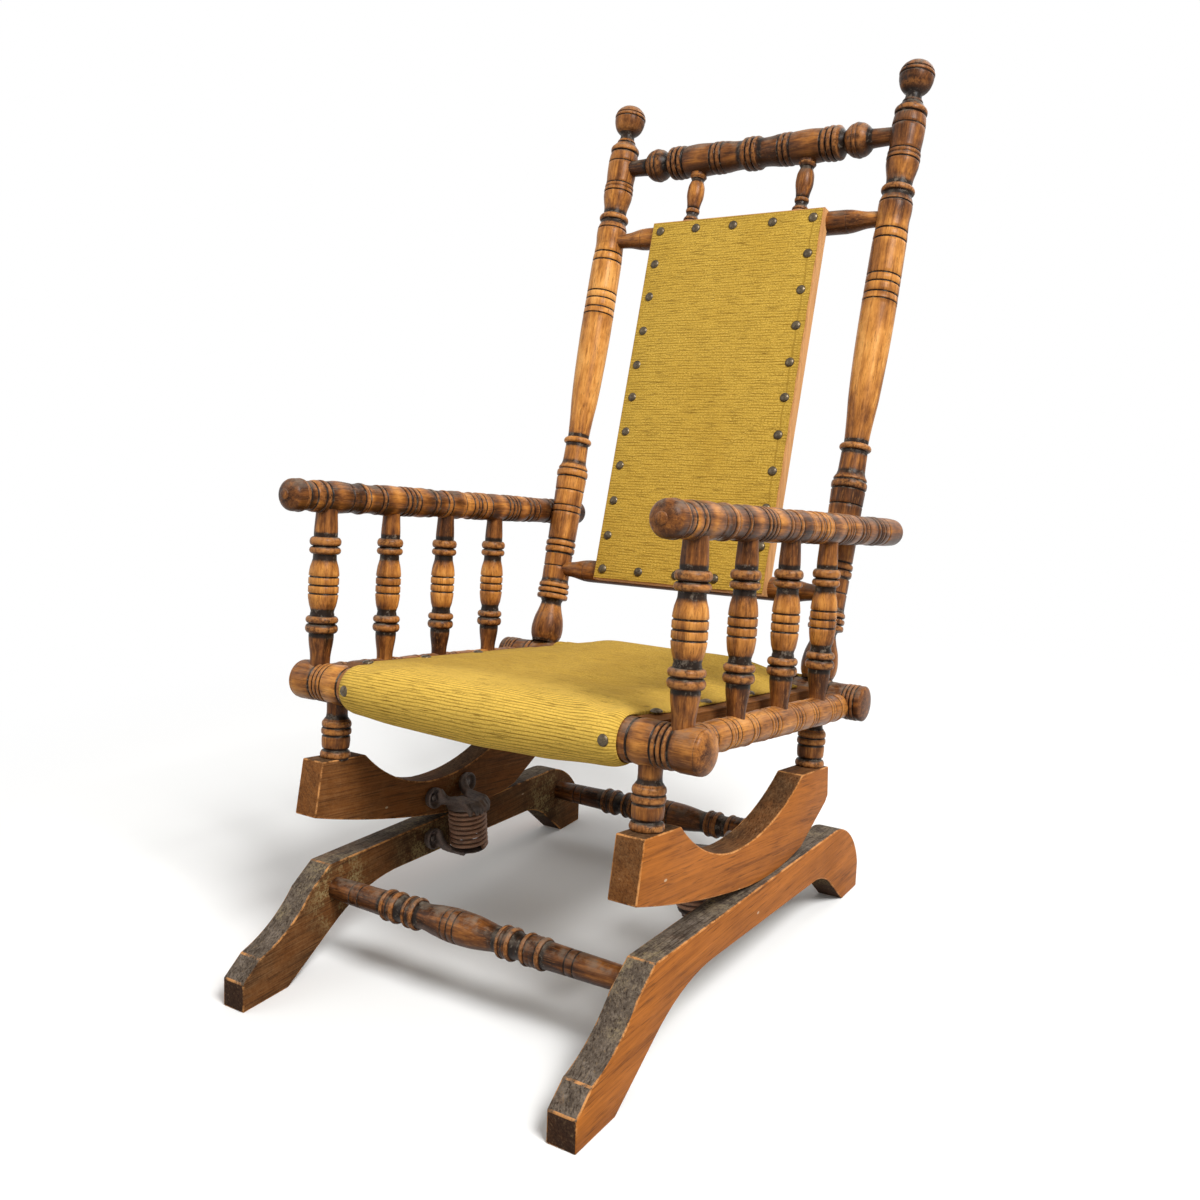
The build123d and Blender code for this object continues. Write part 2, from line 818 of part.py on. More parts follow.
def crest_spindle_sockets(at, rail_r, way):
    """Sockets in a cross rail for the two small spindles; way is up (1) or down (-1)."""
    holes = []
    for side in (-1, 1):
        middle = back_plane.from_local_coords((side * crest_spindle_x, at, 0))
        mouth = back_plane.from_local_coords((side * crest_spindle_x, at + way * (rail_r + 2), 0))
        holes.append(rod(tuple(middle), tuple(mouth), crest_peg_r + joint_fit))
    return holes


def crest_spindle(side):
    low = tuple(back_plane.from_local_coords((side * crest_spindle_x, upper_rail_at + joint_fit, 0)))
    high = tuple(back_plane.from_local_coords((side * crest_spindle_x, crest_rail_at - joint_fit, 0)))
    clear = crest_rail_at - upper_rail_at - back_rail_r - crest_body_r
    t = Turning(crest_peg_r)
    t.run(back_rail_r + 2)
    t.run(clear * 0.2, crest_peg_r + 1.5)
    t.bead(7, crest_spindle_r - 2)
    t.run(clear * 0.3, crest_spindle_r)
    t.run(clear * 0.2, crest_peg_r + 1.5)
    t.bead(6, crest_spindle_r - 0.4)
    t.step(crest_peg_r)
    t.run(crest_rail_at - upper_rail_at - 2 * joint_fit - t.length)
    return along(low, high) * t.solid()


def panel_span():
    """Bottom and top of the back panel, as distances up the posts."""
    return lower_rail_at - panel_over, upper_rail_at + panel_over


def panel_rails(play):
    return [rod((-panel_half - 10, *post_point(1, at)[1:]), (panel_half + 10, *post_point(1, at)[1:]),
                back_rail_r + play)
            for at in (lower_rail_at, upper_rail_at)]


def panel_box(x_low, x_high, y_low, y_high, n_low, n_high):
    middle = ((x_low + x_high) / 2, (y_low + y_high) / 2, (n_low + n_high) / 2)
    return back_plane.location * Location(middle) * Box(x_high - x_low, y_high - y_low, n_high - n_low)


def stile(side):
    low, high = panel_span()
    edges = sorted((side * panel_half, side * (panel_half - stile_wide)))
    return panel_box(*edges, low, high, stile_set, stile_set + stile_thick) - panel_rails(joint_fit)


def batten(upper):
    low, high = panel_span()
    span = (high - batten_high, high) if upper else (low, low + batten_high)
    inside = panel_half - stile_wide - joint_fit
    piece = panel_box(-inside, inside, *span, stile_set, stile_set + stile_thick)
    return piece - panel_rails(joint_fit)


def back_cover():
    """The cloth panel: flat round the tacked edge, softly crowned inside it."""
    low, high = panel_span()
    half = panel_half - 1.5
    tacked = 2 * tack_inset - 4
    rows = []
    for rise, inset in ((0.0, 0.0), (cloth_thick, 0.8), (cloth_thick + 0.1, tacked),
                        (cloth_thick + cloth_crown, 2 * tacked)):
        plane = back_plane.offset(panel_face + rise)
        sheet = Rectangle(2 * (half - inset), high - low - 2 * inset)
        rows.append(plane * Location((0, (low + high) / 2, 0)) * sheet)
    return loft(rows, ruled=True)


def back_lining():
    low, high = panel_span()
    inside = panel_half - stile_wide - 1
    n = stile_set + stile_thick - 3
    return panel_box(-inside, inside, low + batten_high + 1, high - batten_high - 1,
                     n - lining_thick, n)


def back_tacks():
    """Domed tacks round the edge of the back cover."""
    low, high = panel_span()
    edge = panel_half - tack_inset
    spots = []
    for k in range(back_tack_columns):
        x = edge * (2 * k / (back_tack_columns - 1) - 1)
        spots += [(x, low + tack_inset), (x, high - tack_inset)]
    span = high - low - 2 * tack_inset
    for k in range(1, back_tack_rows):
        y = low + tack_inset + span * k / back_tack_rows
        spots += [(-edge, y), (edge, y)]
    return [back_plane.location * Location((x, y, panel_face + cloth_thick + 0.15)) * tack()
            for x, y in spots]


def tack():
    """A domed head, standing on its own plane."""
    return Turning(tack_r).run(tack_high, tack_r * 0.4).solid(pin_flats)


# ---------------------------------------------------------------- arms
def arm_spindle(side, index):
    """A turned baluster between a seat rail and the arm."""
    v = spindle_stations()[index]
    front = index == 0
    end_r = front_spindle_end_r if front else spindle_end_r
    barrel_r = front_spindle_barrel_r if front else spindle_barrel_r
    rail_w = front_rail_w if front else side_rail_w
    rail_top = rail_w + (front_rail_r if front else side_rail_r)
    arm_under = arm_w - arm_r
    waist = end_r + 2
    barrel = (arm_under - spindle_neck - 2 * spindle_bead) - (rail_top + spindle_foot + 2 * spindle_bead)
    t = Turning(end_r)
    t.run(rail_top - rail_w)
    t.run(spindle_foot, waist)
    t.beads(2, spindle_bead, barrel_r + 0.4)
    t.swell(barrel, barrel_r, waist)
    t.beads(2, spindle_bead, barrel_r + 0.4)
    t.run(spindle_neck, end_r)
    t.run(arm_r + tenon_past_axis)
    piece = along((side * side_rail_x, v, rail_w), (side * side_rail_x, v, arm_w)) * t.solid()
    if v == 0.0:
        piece -= rocking_pin(side, joint_fit)
    return piece


def rocking_pin(side, play=0.0):
    """A headless brad across the third spindle's tenon, on the rocking centre."""
    outer = side * (side_rail_x + arm_r)
    start = outer + side * play * 20 if play else outer - side * 0.5
    end = outer - side * (pin_length + 0.5 + play)
    return rod((start, 0, arm_w), (end, 0, arm_w), pin_r + play, brad_flats)


def arm_rail(side):
    """A turned arm with grooves all along it and a domed front end."""
    x = side * side_rail_x
    t = Turning(6)
    t.run(4, 12)
    t.run(8, arm_r)
    for place in arm_rings:
        t.to(place - arm_ring_wide / 2)
        t.bead(arm_ring_wide, arm_r - arm_bead)
    t.to(arm_front + arm_back - 12)
    t.run(8, arm_r - 4)
    t.run(4, 6)
    arm = along((x, -arm_front, arm_w), (x, arm_back, arm_w)) * t.solid()
    for index, v in enumerate(spindle_stations()):
        radius = front_spindle_end_r if index == 0 else spindle_end_r
        arm -= rod((x, v, arm_w - arm_r - 2), (x, v, arm_w + tenon_past_axis + joint_fit),
                   radius + joint_fit)
    arm -= rod(post_point(side, 120), post_point(side, 300), post_r + joint_fit)
    arm -= rocking_pin(side, joint_fit)
    return arm


# ---------------------------------------------------------------- seat upholstery
def seat_levels():
    """Heights that the seat is built on: top of the wrap, underside of the pad, flange."""
    wrap = front_rail_r + cloth_gap
    return front_rail_w + wrap + seat_wrap, front_rail_w + wrap - seat_thick, inner_rail_top + cloth_gap


def seat_wrap_outline():
    """Side view of the cloth drawn round the front rail, whose room is cut out later."""
    outer = front_rail_r + cloth_gap + seat_wrap
    under = (front_rail_v, front_rail_w - outer)
    nose = (front_rail_v - outer, front_rail_w)
    top = (front_rail_v, front_rail_w + outer)
    return outline_face(Polyline(*flattened(ThreePointArc(under, nose, top), 2 * cloth_flats), close=True))


def seat_side_outline():
    """Side view of the pad: a dip behind the front rail, a crown before the back one."""
    top, floor, _ = seat_levels()
    hug = rear_rail_r + cloth_gap
    crown = rear_rail_w + hug + seat_crown_back
    tail = (rear_rail_v + hug + cloth_thick, rear_rail_w)
    dip = (front_rail_v + seat_dip_back, top - seat_dip)
    turn = (seat_crown_v - seat_rise, top)
    hollow = ThreePointArc((front_rail_v, top), dip, turn)
    swell = Spline(turn, (seat_crown_v, crown - 1), (rear_rail_v - 14, crown), tail)
    points = flattened(hollow, cloth_flats) + flattened(swell, 2 * cloth_flats)[1:]
    points += [(rear_rail_v, rear_rail_w), (rear_rail_v - 30, floor), (front_rail_v, floor)]
    return outline_face(Polyline(*points, close=True))


def seat_front_outline():
    """Front view of the pad: crowned across, drawn down to thin tacked edges."""
    _, floor, flange = seat_levels()
    thin = flange + cloth_thick
    crown = rear_rail_w + rear_rail_r + seat_crown_back + 1
    inner = inner_rail_x - inner_rail_wide / 2 - 2
    shoulder = ThreePointArc((inner, thin), (inner - 40, (thin + crown) / 2 + 2), (inner - 90, crown))
    right = [(inner, floor), (inner, flange), (seat_flange, flange), (seat_flange, thin)]
    right += flattened(shoulder, cloth_flats)
    left = [(-x, w) for x, w in reversed(right)]
    return Plane.XZ * make_face(Polyline(*right, *left, close=True))


def seat_cover():
    """The stuffed seat: its cover wraps the front rail and is tacked down along both sides."""
    pad = board(seat_side_outline(), 2 * seat_flange, 0)
    span = rear_rail_v - front_rail_v + 80
    pad &= Location((0, front_rail_v - 20, 0)) * extrude(seat_front_outline(), span, dir=(0, 1, 0))
    pad += board(seat_wrap_outline(), 2 * seat_half, 0)
    for v, w, radius in ((front_rail_v, front_rail_w, front_rail_r), (rear_rail_v, rear_rail_w, rear_rail_r)):
        pad -= rod((-front_rail_half, v, w), (front_rail_half, v, w), radius + cloth_gap)
    for side in (-1, 1):
        pad -= rod(post_point(side, -60), post_point(side, 90), post_bulb_r + cloth_gap)
        pad -= rod((side * side_rail_x, front_rail_v, front_rail_w),
                   (side * side_rail_x, front_rail_v, arm_w), front_spindle_barrel_r + 2)
    return pad.solids().sort_by(SortBy.VOLUME)[-1]


def seat_tacks():
    """Tacks in the cover's front corners and along its tacked sides."""
    heads = []
    for side in (-1, 1):
        x = side * (seat_half - tack_inset)
        nose = front_rail_v - front_rail_r - cloth_gap - seat_wrap - 0.02
        heads.append(Plane(origin=(x, nose, front_rail_w), z_dir=(0, -1, 0)).location * tack())
        for k in range(seat_tacks_a_side):
            v = seat_tack_first + k * seat_tack_pitch
            edge = (side * (seat_flange - tack_r - 1), v, seat_levels()[2] + cloth_thick + 0.02)
            heads.append(Plane(origin=edge, z_dir=(0, 0, 1)).location * tack())
    return heads


def seat_webbing():
    """Straps under the seat pad, from the front rail to the rear rail."""
    top = seat_levels()[1] - cloth_gap
    middle_w = top - webbing_thick / 2
    straps = []
    for k in range(webbing_count):
        x = (2 * k / (webbing_count - 1) - 1) * (seat_half - webbing_wide / 2 - 12)
        middle = (x, (front_rail_v + rear_rail_v) / 2, middle_w)
        strap = Location(middle) * Box(webbing_wide, rear_rail_v - front_rail_v, webbing_thick)
        straps.append((strap - front_rail_hole() - rear_rail_hole()).solids().sort_by(SortBy.VOLUME)[-1])
    return straps


def main():
    coils, low_screws, high_screws = [], [], []
    for side, word in ((-1, "right"), (1, "left")):
        save(f"base_side_{word}", base_side(side), base_place)
        coils.append(Location((side * coil_x, coil_y, coil_low)) * coil())
        inner = side_x - side_thick / 2
        seat_low = coil_low - coil_wire_r - 0.1
        seat_high = coil_high + coil_wire_r + 0.4
        save(f"lower_bracket_{word}", spring_bracket(side, inner, seat_low, False), base_place)
        save(f"rocker_{word}", rocker(side), chair_place)
        for end, ends in leg_ends().items():
            save(f"leg_{end}_{word}", short_leg(side, *ends), chair_place)
        save(f"side_rail_{word}", side_rail(side), chair_place)
        save(f"inner_rail_{word}", inner_rail(side), chair_place)
        save(f"back_post_{word}", back_post(side), chair_place)
        save(f"crest_spindle_{word}", crest_spindle(side), chair_place)
        save(f"back_stile_{word}", stile(side), chair_place)
        save(f"arm_rail_{word}", arm_rail(side), chair_place)
        for index in range(4):
            save(f"arm_spindle_{word}_{index + 1}", arm_spindle(side, index), chair_place)
        save(f"upper_bracket_{word}", spring_bracket(side, rocker_x - rocker_thick / 2, seat_high, True),
             base_place)
        low_screws += bracket_screws(side, inner, seat_low, False)
        high_screws += bracket_screws(side, rocker_x - rocker_thick / 2, seat_high, True)
    save("springs", Compound(children=coils), base_place)
    save("lower_bracket_screws", Compound(children=low_screws), base_place)
    save("upper_bracket_screws", Compound(children=high_screws), base_place)
    for name, (y, z) in stretcher_points().items():
        save(name, stretcher(y, z), base_place)
    save("seat_front_rail", front_rail(), chair_place)
    save("seat_rear_rail", rear_rail(), chair_place)
    save("back_lower_rail", cross_rail(lower_rail_at), chair_place)
    save("back_upper_rail", upper_rail(), chair_place)
    save("crest_rail", crest_rail(), chair_place)
    save("back_top_batten", batten(True), chair_place)
    save("back_bottom_batten", batten(False), chair_place)
    save("back_cover", back_cover(), chair_place)
    save("back_lining", back_lining(), chair_place)
    save("back_tacks", Compound(children=back_tacks()), chair_place)
    save("seat_cover", seat_cover(), chair_place)
    save("seat_tacks", Compound(children=seat_tacks()), chair_place)
    save("seat_webbing", Compound(children=seat_webbing()), chair_place)
    save("rocking_pins", Compound(children=[rocking_pin(-1), rocking_pin(1)]), chair_place)
    print("least gap between the coil's turns:", round(coil_self_gap(), 2), "mm")
    print("nodes written:", len(written))


main()
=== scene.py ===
import json
import math
import random

import bmesh
import bpy
import numpy as np
from mathutils import Matrix, Vector, noise


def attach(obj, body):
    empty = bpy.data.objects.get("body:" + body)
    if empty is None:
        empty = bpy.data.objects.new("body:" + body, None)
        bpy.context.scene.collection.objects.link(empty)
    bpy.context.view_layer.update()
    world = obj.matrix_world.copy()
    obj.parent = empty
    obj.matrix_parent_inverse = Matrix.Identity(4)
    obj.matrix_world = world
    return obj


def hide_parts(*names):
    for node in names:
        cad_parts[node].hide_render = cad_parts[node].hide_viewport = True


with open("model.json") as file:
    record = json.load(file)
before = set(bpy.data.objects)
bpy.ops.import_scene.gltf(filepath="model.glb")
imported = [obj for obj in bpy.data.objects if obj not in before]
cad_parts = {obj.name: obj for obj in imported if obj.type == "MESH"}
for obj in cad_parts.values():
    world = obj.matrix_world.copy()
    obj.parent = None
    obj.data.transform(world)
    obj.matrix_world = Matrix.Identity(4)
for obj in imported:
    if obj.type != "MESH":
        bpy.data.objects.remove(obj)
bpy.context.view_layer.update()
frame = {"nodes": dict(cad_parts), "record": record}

# The looks of a platform rocker.  Lengths are millimetres in the chair's own frame
# (x across, v back, w up) or the platform's (y behind the rocking centre).  They become
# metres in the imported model's frame where a mesh is made.
MM = 0.001
SIDES = {-1: "right", 1: "left"}


# ---------------------------------------------------------------- frames
def joint_record(name):
    joints = frame["record"]["behaviour"]["joints"]
    return next(joint for joint in joints if joint["name"] == name)


CENTRE = Vector(joint_record("rocking")["pos_m"]) / MM
TILT = math.radians(9.5)
ARM_W = 384.0               # the arm rails' axes, and the rockers' radius about them
SIDE_X = 238.5


def chair(x, v, w):
    """A point of the chair, leaned back about the rocking centre."""
    rise = w - ARM_W
    return Vector((x,
                   CENTRE.y + v * math.cos(TILT) + rise * math.sin(TILT),
                   CENTRE.z - v * math.sin(TILT) + rise * math.cos(TILT)))


def platform(x, y, z):
    return Vector((x, CENTRE.y + y, z))


UP = (chair(0, 0, 1) - chair(0, 0, 0)).normalized()
BACK = (chair(0, 1, 0) - chair(0, 0, 0)).normalized()
ACROSS = Vector((1, 0, 0))

# back posts and panel
POST_LEAN = math.radians(10.88)
POST_SPLAY = math.radians(0.72)
POST_FOOT_X = 202.0
REAR_V, REAR_W = 173.0, 184.0
LOWER_AT, UPPER_AT, CREST_AT = 124.0, 596.0, 704.0
PANEL_HALF = 126.0
PANEL_LOW, PANEL_HIGH = LOWER_AT - 12, UPPER_AT + 12
PANEL_FACE = 21.8
TACK_INSET = 13.5
SEAM_X = 118.5


def post_point(side, at):
    x = POST_FOOT_X + at * math.tan(POST_SPLAY)
    return chair(side * x, REAR_V + at * math.sin(POST_LEAN), REAR_W + at * math.cos(POST_LEAN))


def panel_point(x, at, out):
    """A point of the back: across, up along the posts, and ahead of the rails' axes."""
    return chair(x,
                 REAR_V + at * math.sin(POST_LEAN) - out * math.cos(POST_LEAN),
                 REAR_W + at * math.cos(POST_LEAN) + out * math.sin(POST_LEAN))


# ---------------------------------------------------------------- material nodes
class Nodes:
    """A node tree, with short calls for the nodes used here."""

    def __init__(self, tree):
        self.tree = tree

    def put(self, socket, value):
        """Link a socket to another, or set its value."""
        if isinstance(value, bpy.types.NodeSocket):
            self.tree.links.new(value, socket)
        else:
            plain = socket.type == "RGBA" and len(value) == 3
            socket.default_value = (*value, 1.0) if plain else value

    def node(self, kind, sockets=(), **settings):
        made = self.tree.nodes.new("ShaderNode" + kind)
        for key, value in settings.items():
            setattr(made, key, value)
        for key, value in dict(sockets).items():
            self.put(made.inputs[key], value)
        return made

    def math(self, operation, a, b=0.0, clamp=False):
        return self.node("Math", {0: a, 1: b}, operation=operation, use_clamp=clamp).outputs[0]

    def times(self, a, b, clamp=False):
        return self.math("MULTIPLY", a, b, clamp)

    def plus(self, a, b, clamp=False):
        return self.math("ADD", a, b, clamp)

    def most(self, a, b):
        return self.math("MAXIMUM", a, b)

    def swing(self, value, share):
        """A pattern's departure from its middle, times a share."""
        return self.times(self.math("SUBTRACT", value, 0.5), share)

    def shown(self):
        """1 for what the camera or a reflection shows, 0 for the light that things give."""
        path = self.node("LightPath")
        return self.most(path.outputs["Is Camera Ray"], path.outputs["Is Glossy Ray"])

    def blend(self, share, first, second, output):
        """Give an output node a mixture of two shaders."""
        mixed = self.node("MixShader", {0: share, 1: first.outputs[0], 2: second.outputs[0]})
        self.put(self.tree.nodes[output].inputs["Surface"], mixed.outputs[0])


class Shader(Nodes):
    """A material, and the patterns that feed its surface."""

    def __init__(self, name, roughness=0.6, **sockets):
        self.material = bpy.data.materials.new(name)
        self.material.use_nodes = True
        super().__init__(self.material.node_tree)
        self.surface = self.tree.nodes["Principled BSDF"]
        self.put(self.surface.inputs["Roughness"], roughness)
        for key, value in sockets.items():
            self.put(self.surface.inputs[key.replace("_", " ")], value)

    def attribute(self, name, vector=False):
        made = self.node("Attribute", attribute_name=name)
        return made.outputs["Vector" if vector else "Fac"]

    def part(self, vector, axis):
        return self.node("SeparateXYZ", {0: vector}).outputs[axis]

    def upward(self):
        return self.part(self.node("NewGeometry").outputs["Normal"], "Z")

    def near(self, vector, point, inner, outer):
        """1 within the inner distance of a point, easing to 0 at the outer one (metres)."""
        gap = self.node("VectorMath", {0: vector, 1: point}, operation="DISTANCE")
        return self.between(gap.outputs["Value"], outer, inner)

    def stretch(self, vector, scale):
        return self.node("Mapping", {"Vector": vector, "Scale": scale}).outputs[0]

    def noise(self, vector, scale, detail=4.0, roughness=0.55, distortion=0.0):
        """Noise of one scale, or of one along each axis."""
        if isinstance(scale, tuple):
            vector, scale = self.stretch(vector, scale), 1.0
        made = self.node("TexNoise", {"Vector": vector, "Scale": scale, "Detail": detail,
                                      "Roughness": roughness, "Distortion": distortion})
        return made.outputs["Fac"]

    def cells(self, vector, scale):
        made = self.node("TexVoronoi", {"Vector": self.stretch(vector, scale), "Scale": 1.0})
        return made.outputs["Distance"]

    def between(self, value, low, high, out_low=0.0, out_high=1.0):
        """From one number to the other, smoothly, while the value goes from low to high."""
        made = self.node("MapRange", {"Value": value, "From Min": low, "From Max": high,
                                      "To Min": out_low, "To Max": out_high},
                         interpolation_type="SMOOTHSTEP")
        return made.outputs["Result"]

    def ramp(self, value, *stops):
        made = self.node("ValToRGB", {"Fac": value})
        band = made.color_ramp.elements
        while len(band) < len(stops):
            band.new(0.5)
        for element, (place, colour) in zip(band, stops):
            element.position = place
            element.color = (*colour, 1.0)
        return made.outputs["Color"]

    def mix(self, factor, a, b):
        made = self.node("Mix", {"Factor": factor}, data_type="RGBA")
        for socket, value in zip([s for s in made.inputs if s.type == "RGBA"], (a, b)):
            self.put(socket, value)
        return next(s for s in made.outputs if s.type == "RGBA")

    def bump(self, height, depth, strength=1.0, under=None):
        made = self.node("Bump", {"Strength": strength, "Distance": depth * MM, "Height": height})
        if under is not None:
            self.put(made.inputs["Normal"], under)
        return made.outputs["Normal"]

    def finish(self, colour, roughness=None, normal=None):
        for name, value in (("Base Color", colour), ("Roughness", roughness), ("Normal", normal)):
            if value is not None:
                self.put(self.surface.inputs[name], value)
        return self.material


SOOT = (0.011, 0.007, 0.005)
DUST = (0.235, 0.190, 0.145)
# turned wood: its varnish from the darkest to the lightest, what lies in and on it, and a painted
# shade for its undersides
VARNISH = ((0.0, (0.016, 0.006, 0.003)), (0.22, (0.062, 0.021, 0.007)),
           (0.42, (0.170, 0.058, 0.015)), (0.62, (0.360, 0.134, 0.028)),
           (0.82, (0.580, 0.240, 0.050)), (1.0, (0.780, 0.370, 0.095)))
RUBBED_DARK, RUBBED_LIGHT = (0.300, 0.108, 0.030), (0.700, 0.320, 0.090)
PORE = (0.052, 0.019, 0.007)
SHADED = (0.040, 0.016, 0.007)
# boards: grime on inner faces and on tops, and the marks on them
UNDER_GRIME = ((0.34, (0.030, 0.014, 0.007)), (0.50, (0.094, 0.046, 0.019)),
               (0.70, (0.185, 0.102, 0.046)))
TOP_GRIME = ((0.34, (0.042, 0.031, 0.024)), (0.48, (0.108, 0.083, 0.062)),
             (0.58, (0.176, 0.140, 0.110)), (0.74, (0.285, 0.235, 0.188)))
STEEP_GRIME = (0.046, 0.023, 0.014)
FIBRE_DARK, FIBRE_LIGHT = (0.018, 0.009, 0.005), (0.230, 0.150, 0.075)
CREAM = (0.330, 0.250, 0.112)
CHIPPED = (0.560, 0.420, 0.270)
RUBBED_EDGE = (0.640, 0.290, 0.095)
# cloths: colours, one of them painted light and one soiling with painted shade, and the distance of
# their rib lines and threads in metres
MUSTARD = ((0.36, (0.300, 0.172, 0.020)), (0.50, (0.570, 0.352, 0.050)),
           (0.63, (0.840, 0.570, 0.125)))
FADED, PAINTED_LIGHT_ON_ROLL = (0.460, 0.258, 0.028), (0.900, 0.590, 0.110)
BETWEEN_RIBS = (0.190, 0.098, 0.009)
SOILED_AND_PAINTED_SHADE, SPOT = (0.270, 0.145, 0.018), (0.150, 0.080, 0.022)
RIB_PITCH, THREAD_PITCH = 0.0035, 0.0024


def turned_wood():
    """Varnish worn to orange on the rings, with dark grooves and grey dust in them, and painted
    shade on the undersides.
    """
    s = Shader("turned wood", Coat_Weight=0.05, Coat_Roughness=0.28, Specular_IOR_Level=0.12)
    local = s.attribute("local", True)
    wear = s.attribute("wear")
    tone = s.attribute("tone")
    grain = s.noise(local, (150, 150, 9), 6.0, 0.6, 0.6)
    pores = s.noise(local, (780, 780, 55), 4.0, 0.75)
    blotch = s.noise(local, (26, 26, 15), 4.0, 0.65)
    scuffs = s.noise(local, 190.0, 5.0, 0.72)
    shade = s.plus(s.swing(grain, 1.0), tone)
    shade = s.plus(shade, s.swing(blotch, 1.45), clamp=True)
    worn = s.mix(tone, RUBBED_DARK, RUBBED_LIGHT)
    wood = s.ramp(shade, *VARNISH)
    wood = s.mix(s.between(pores, 0.53, 0.66, 0.0, 0.65), wood, PORE)
    wood = s.mix(s.between(pores, 0.47, 0.34, 0.0, 0.40), wood, worn)
    crest = s.times(s.between(wear, 0.12, 0.70), s.between(scuffs, 0.38, 0.60))
    wood = s.mix(s.times(crest, 0.75), wood, worn)
    groove = s.between(s.plus(wear, s.swing(scuffs, 0.5)), -0.04, -0.46)
    wood = s.mix(s.times(groove, 0.96), wood, SOOT)
    old = s.between(tone, 0.74, 0.36)
    # painted shade: faces that look down are darkened, the more so on darker-toned wood
    under = s.times(s.between(s.upward(), -0.10, -0.75), s.times(old, 0.80))
    wood = s.mix(under, wood, SHADED)
    settled = s.times(s.between(wear, -0.02, -0.40),
                      s.between(s.noise(local, 130.0, 5.0, 0.75), 0.52, 0.66))
    lying = s.times(s.between(s.upward(), 0.25, 0.95),
                    s.between(s.noise(local, 65.0, 5.0, 0.7), 0.40, 0.66))
    dust = s.most(s.times(settled, 0.60), s.times(lying, s.times(old, 0.62)))
    colour = s.mix(dust, wood, DUST)
    rough = s.between(s.plus(dust, s.times(scuffs, 0.5)), 0.15, 0.9, 0.34, 0.80)
    tool_marks = s.noise(local, (3, 3, 1100), 2.0, 0.6)
    normal = s.bump(tool_marks, 0.12, 0.5)
    normal = s.bump(grain, 0.25, 0.35, normal)
    normal = s.bump(pores, 0.10, 0.5, normal)
    return s.finish(colour, rough, normal)


def board_wood(name, light, dark, pores_share, stains=()):
    """Sawn boards: long grain, grey-brown grimy tops, dark inner faces and rubbed edges."""
    s = Shader(name, Coat_Weight=0.01, Coat_Roughness=0.35, Specular_IOR_Level=0.08)
    local = s.attribute("local", True)
    wear = s.attribute("wear")
    dirt = s.attribute("dirt")
    grain = s.noise(local, (40, 5, 90), 8.0, 0.66, 1.4)
    fibre = s.noise(local, (380, 12, 640), 5.0, 0.72)
    blotch = s.noise(local, (9, 8, 16), 5.0, 0.64)
    scuffs = s.noise(local, 55.0, 7.0, 0.74)
    fine = s.noise(local, 330.0, 4.0, 0.72)
    pits = s.noise(local, (420, 30, 700), 2.0, 0.6)
    middle = tuple((a + 2 * b) / 3 for a, b in zip(dark, light))
    wood = s.ramp(grain, (0.30, dark), (0.44, middle), (0.58, light),
                  (0.78, tuple(1.2 * c for c in light)))
    wood = s.mix(s.between(blotch, 0.44, 0.70, 0.0, 0.50), wood, dark)
    wood = s.mix(s.between(fibre, 0.48, 0.72, 0.0, 0.35), wood, tuple(1.45 * c for c in light))
    wood = s.mix(s.between(fibre, 0.50, 0.30, 0.0, 0.40), wood, tuple(0.6 * c for c in dark))
    wood = s.mix(s.between(pits, 0.58, 0.70, 0.0, pores_share), wood, SOOT)
    soiled = s.plus(s.times(scuffs, 0.55), s.times(fine, 0.45))
    under = s.ramp(soiled, *UNDER_GRIME)
    over = s.ramp(soiled, *TOP_GRIME)
    over = s.mix(s.between(s.upward(), 0.55, 0.10), over, STEEP_GRIME)
    grime = s.mix(s.between(dirt, 0.72, 0.85), under, over)
    share = s.times(dirt, s.between(blotch, 0.34, 0.68, 1.40, 0.98), clamp=True)
    wood = s.mix(share, wood, grime)
    wood = s.mix(s.times(s.between(fibre, 0.50, 0.38, 0.0, 0.80), dirt), wood, FIBRE_DARK)
    wood = s.mix(s.times(s.between(fibre, 0.55, 0.68, 0.0, 0.60), dirt), wood, FIBRE_LIGHT)
    if stains:
        place = s.attribute("place", True)
        cream = s.near(place, *stains[0])
        for stain in stains[1:]:
            cream = s.most(cream, s.near(place, *stain))
        cream = s.times(cream, s.between(dirt, 0.25, 0.50))
        patchy = s.times(s.between(scuffs, 0.43, 0.60), s.between(fine, 0.42, 0.56, 0.05, 1.0))
        wood = s.mix(s.times(cream, patchy), wood, CREAM)
    chips = s.cells(local, (26, 14, 30))
    wood = s.mix(s.between(chips, 0.050, 0.026, 0.0, 0.85), wood, CHIPPED)
    rubbed = s.times(s.between(wear, 0.2, 0.8), s.between(scuffs, 0.42, 0.60))
    colour = s.mix(s.times(rubbed, 0.85), wood, RUBBED_EDGE)
    rough = s.between(s.plus(s.times(dirt, 0.6), s.times(scuffs, 0.4)), 0.1, 0.9, 0.50, 0.90)
    normal = s.bump(fibre, 0.30, 0.45)
    normal = s.bump(pits, 0.25, 0.45, normal)
    normal = s.bump(scuffs, 0.60, 0.30, normal)
    return s.finish(colour, rough, normal)


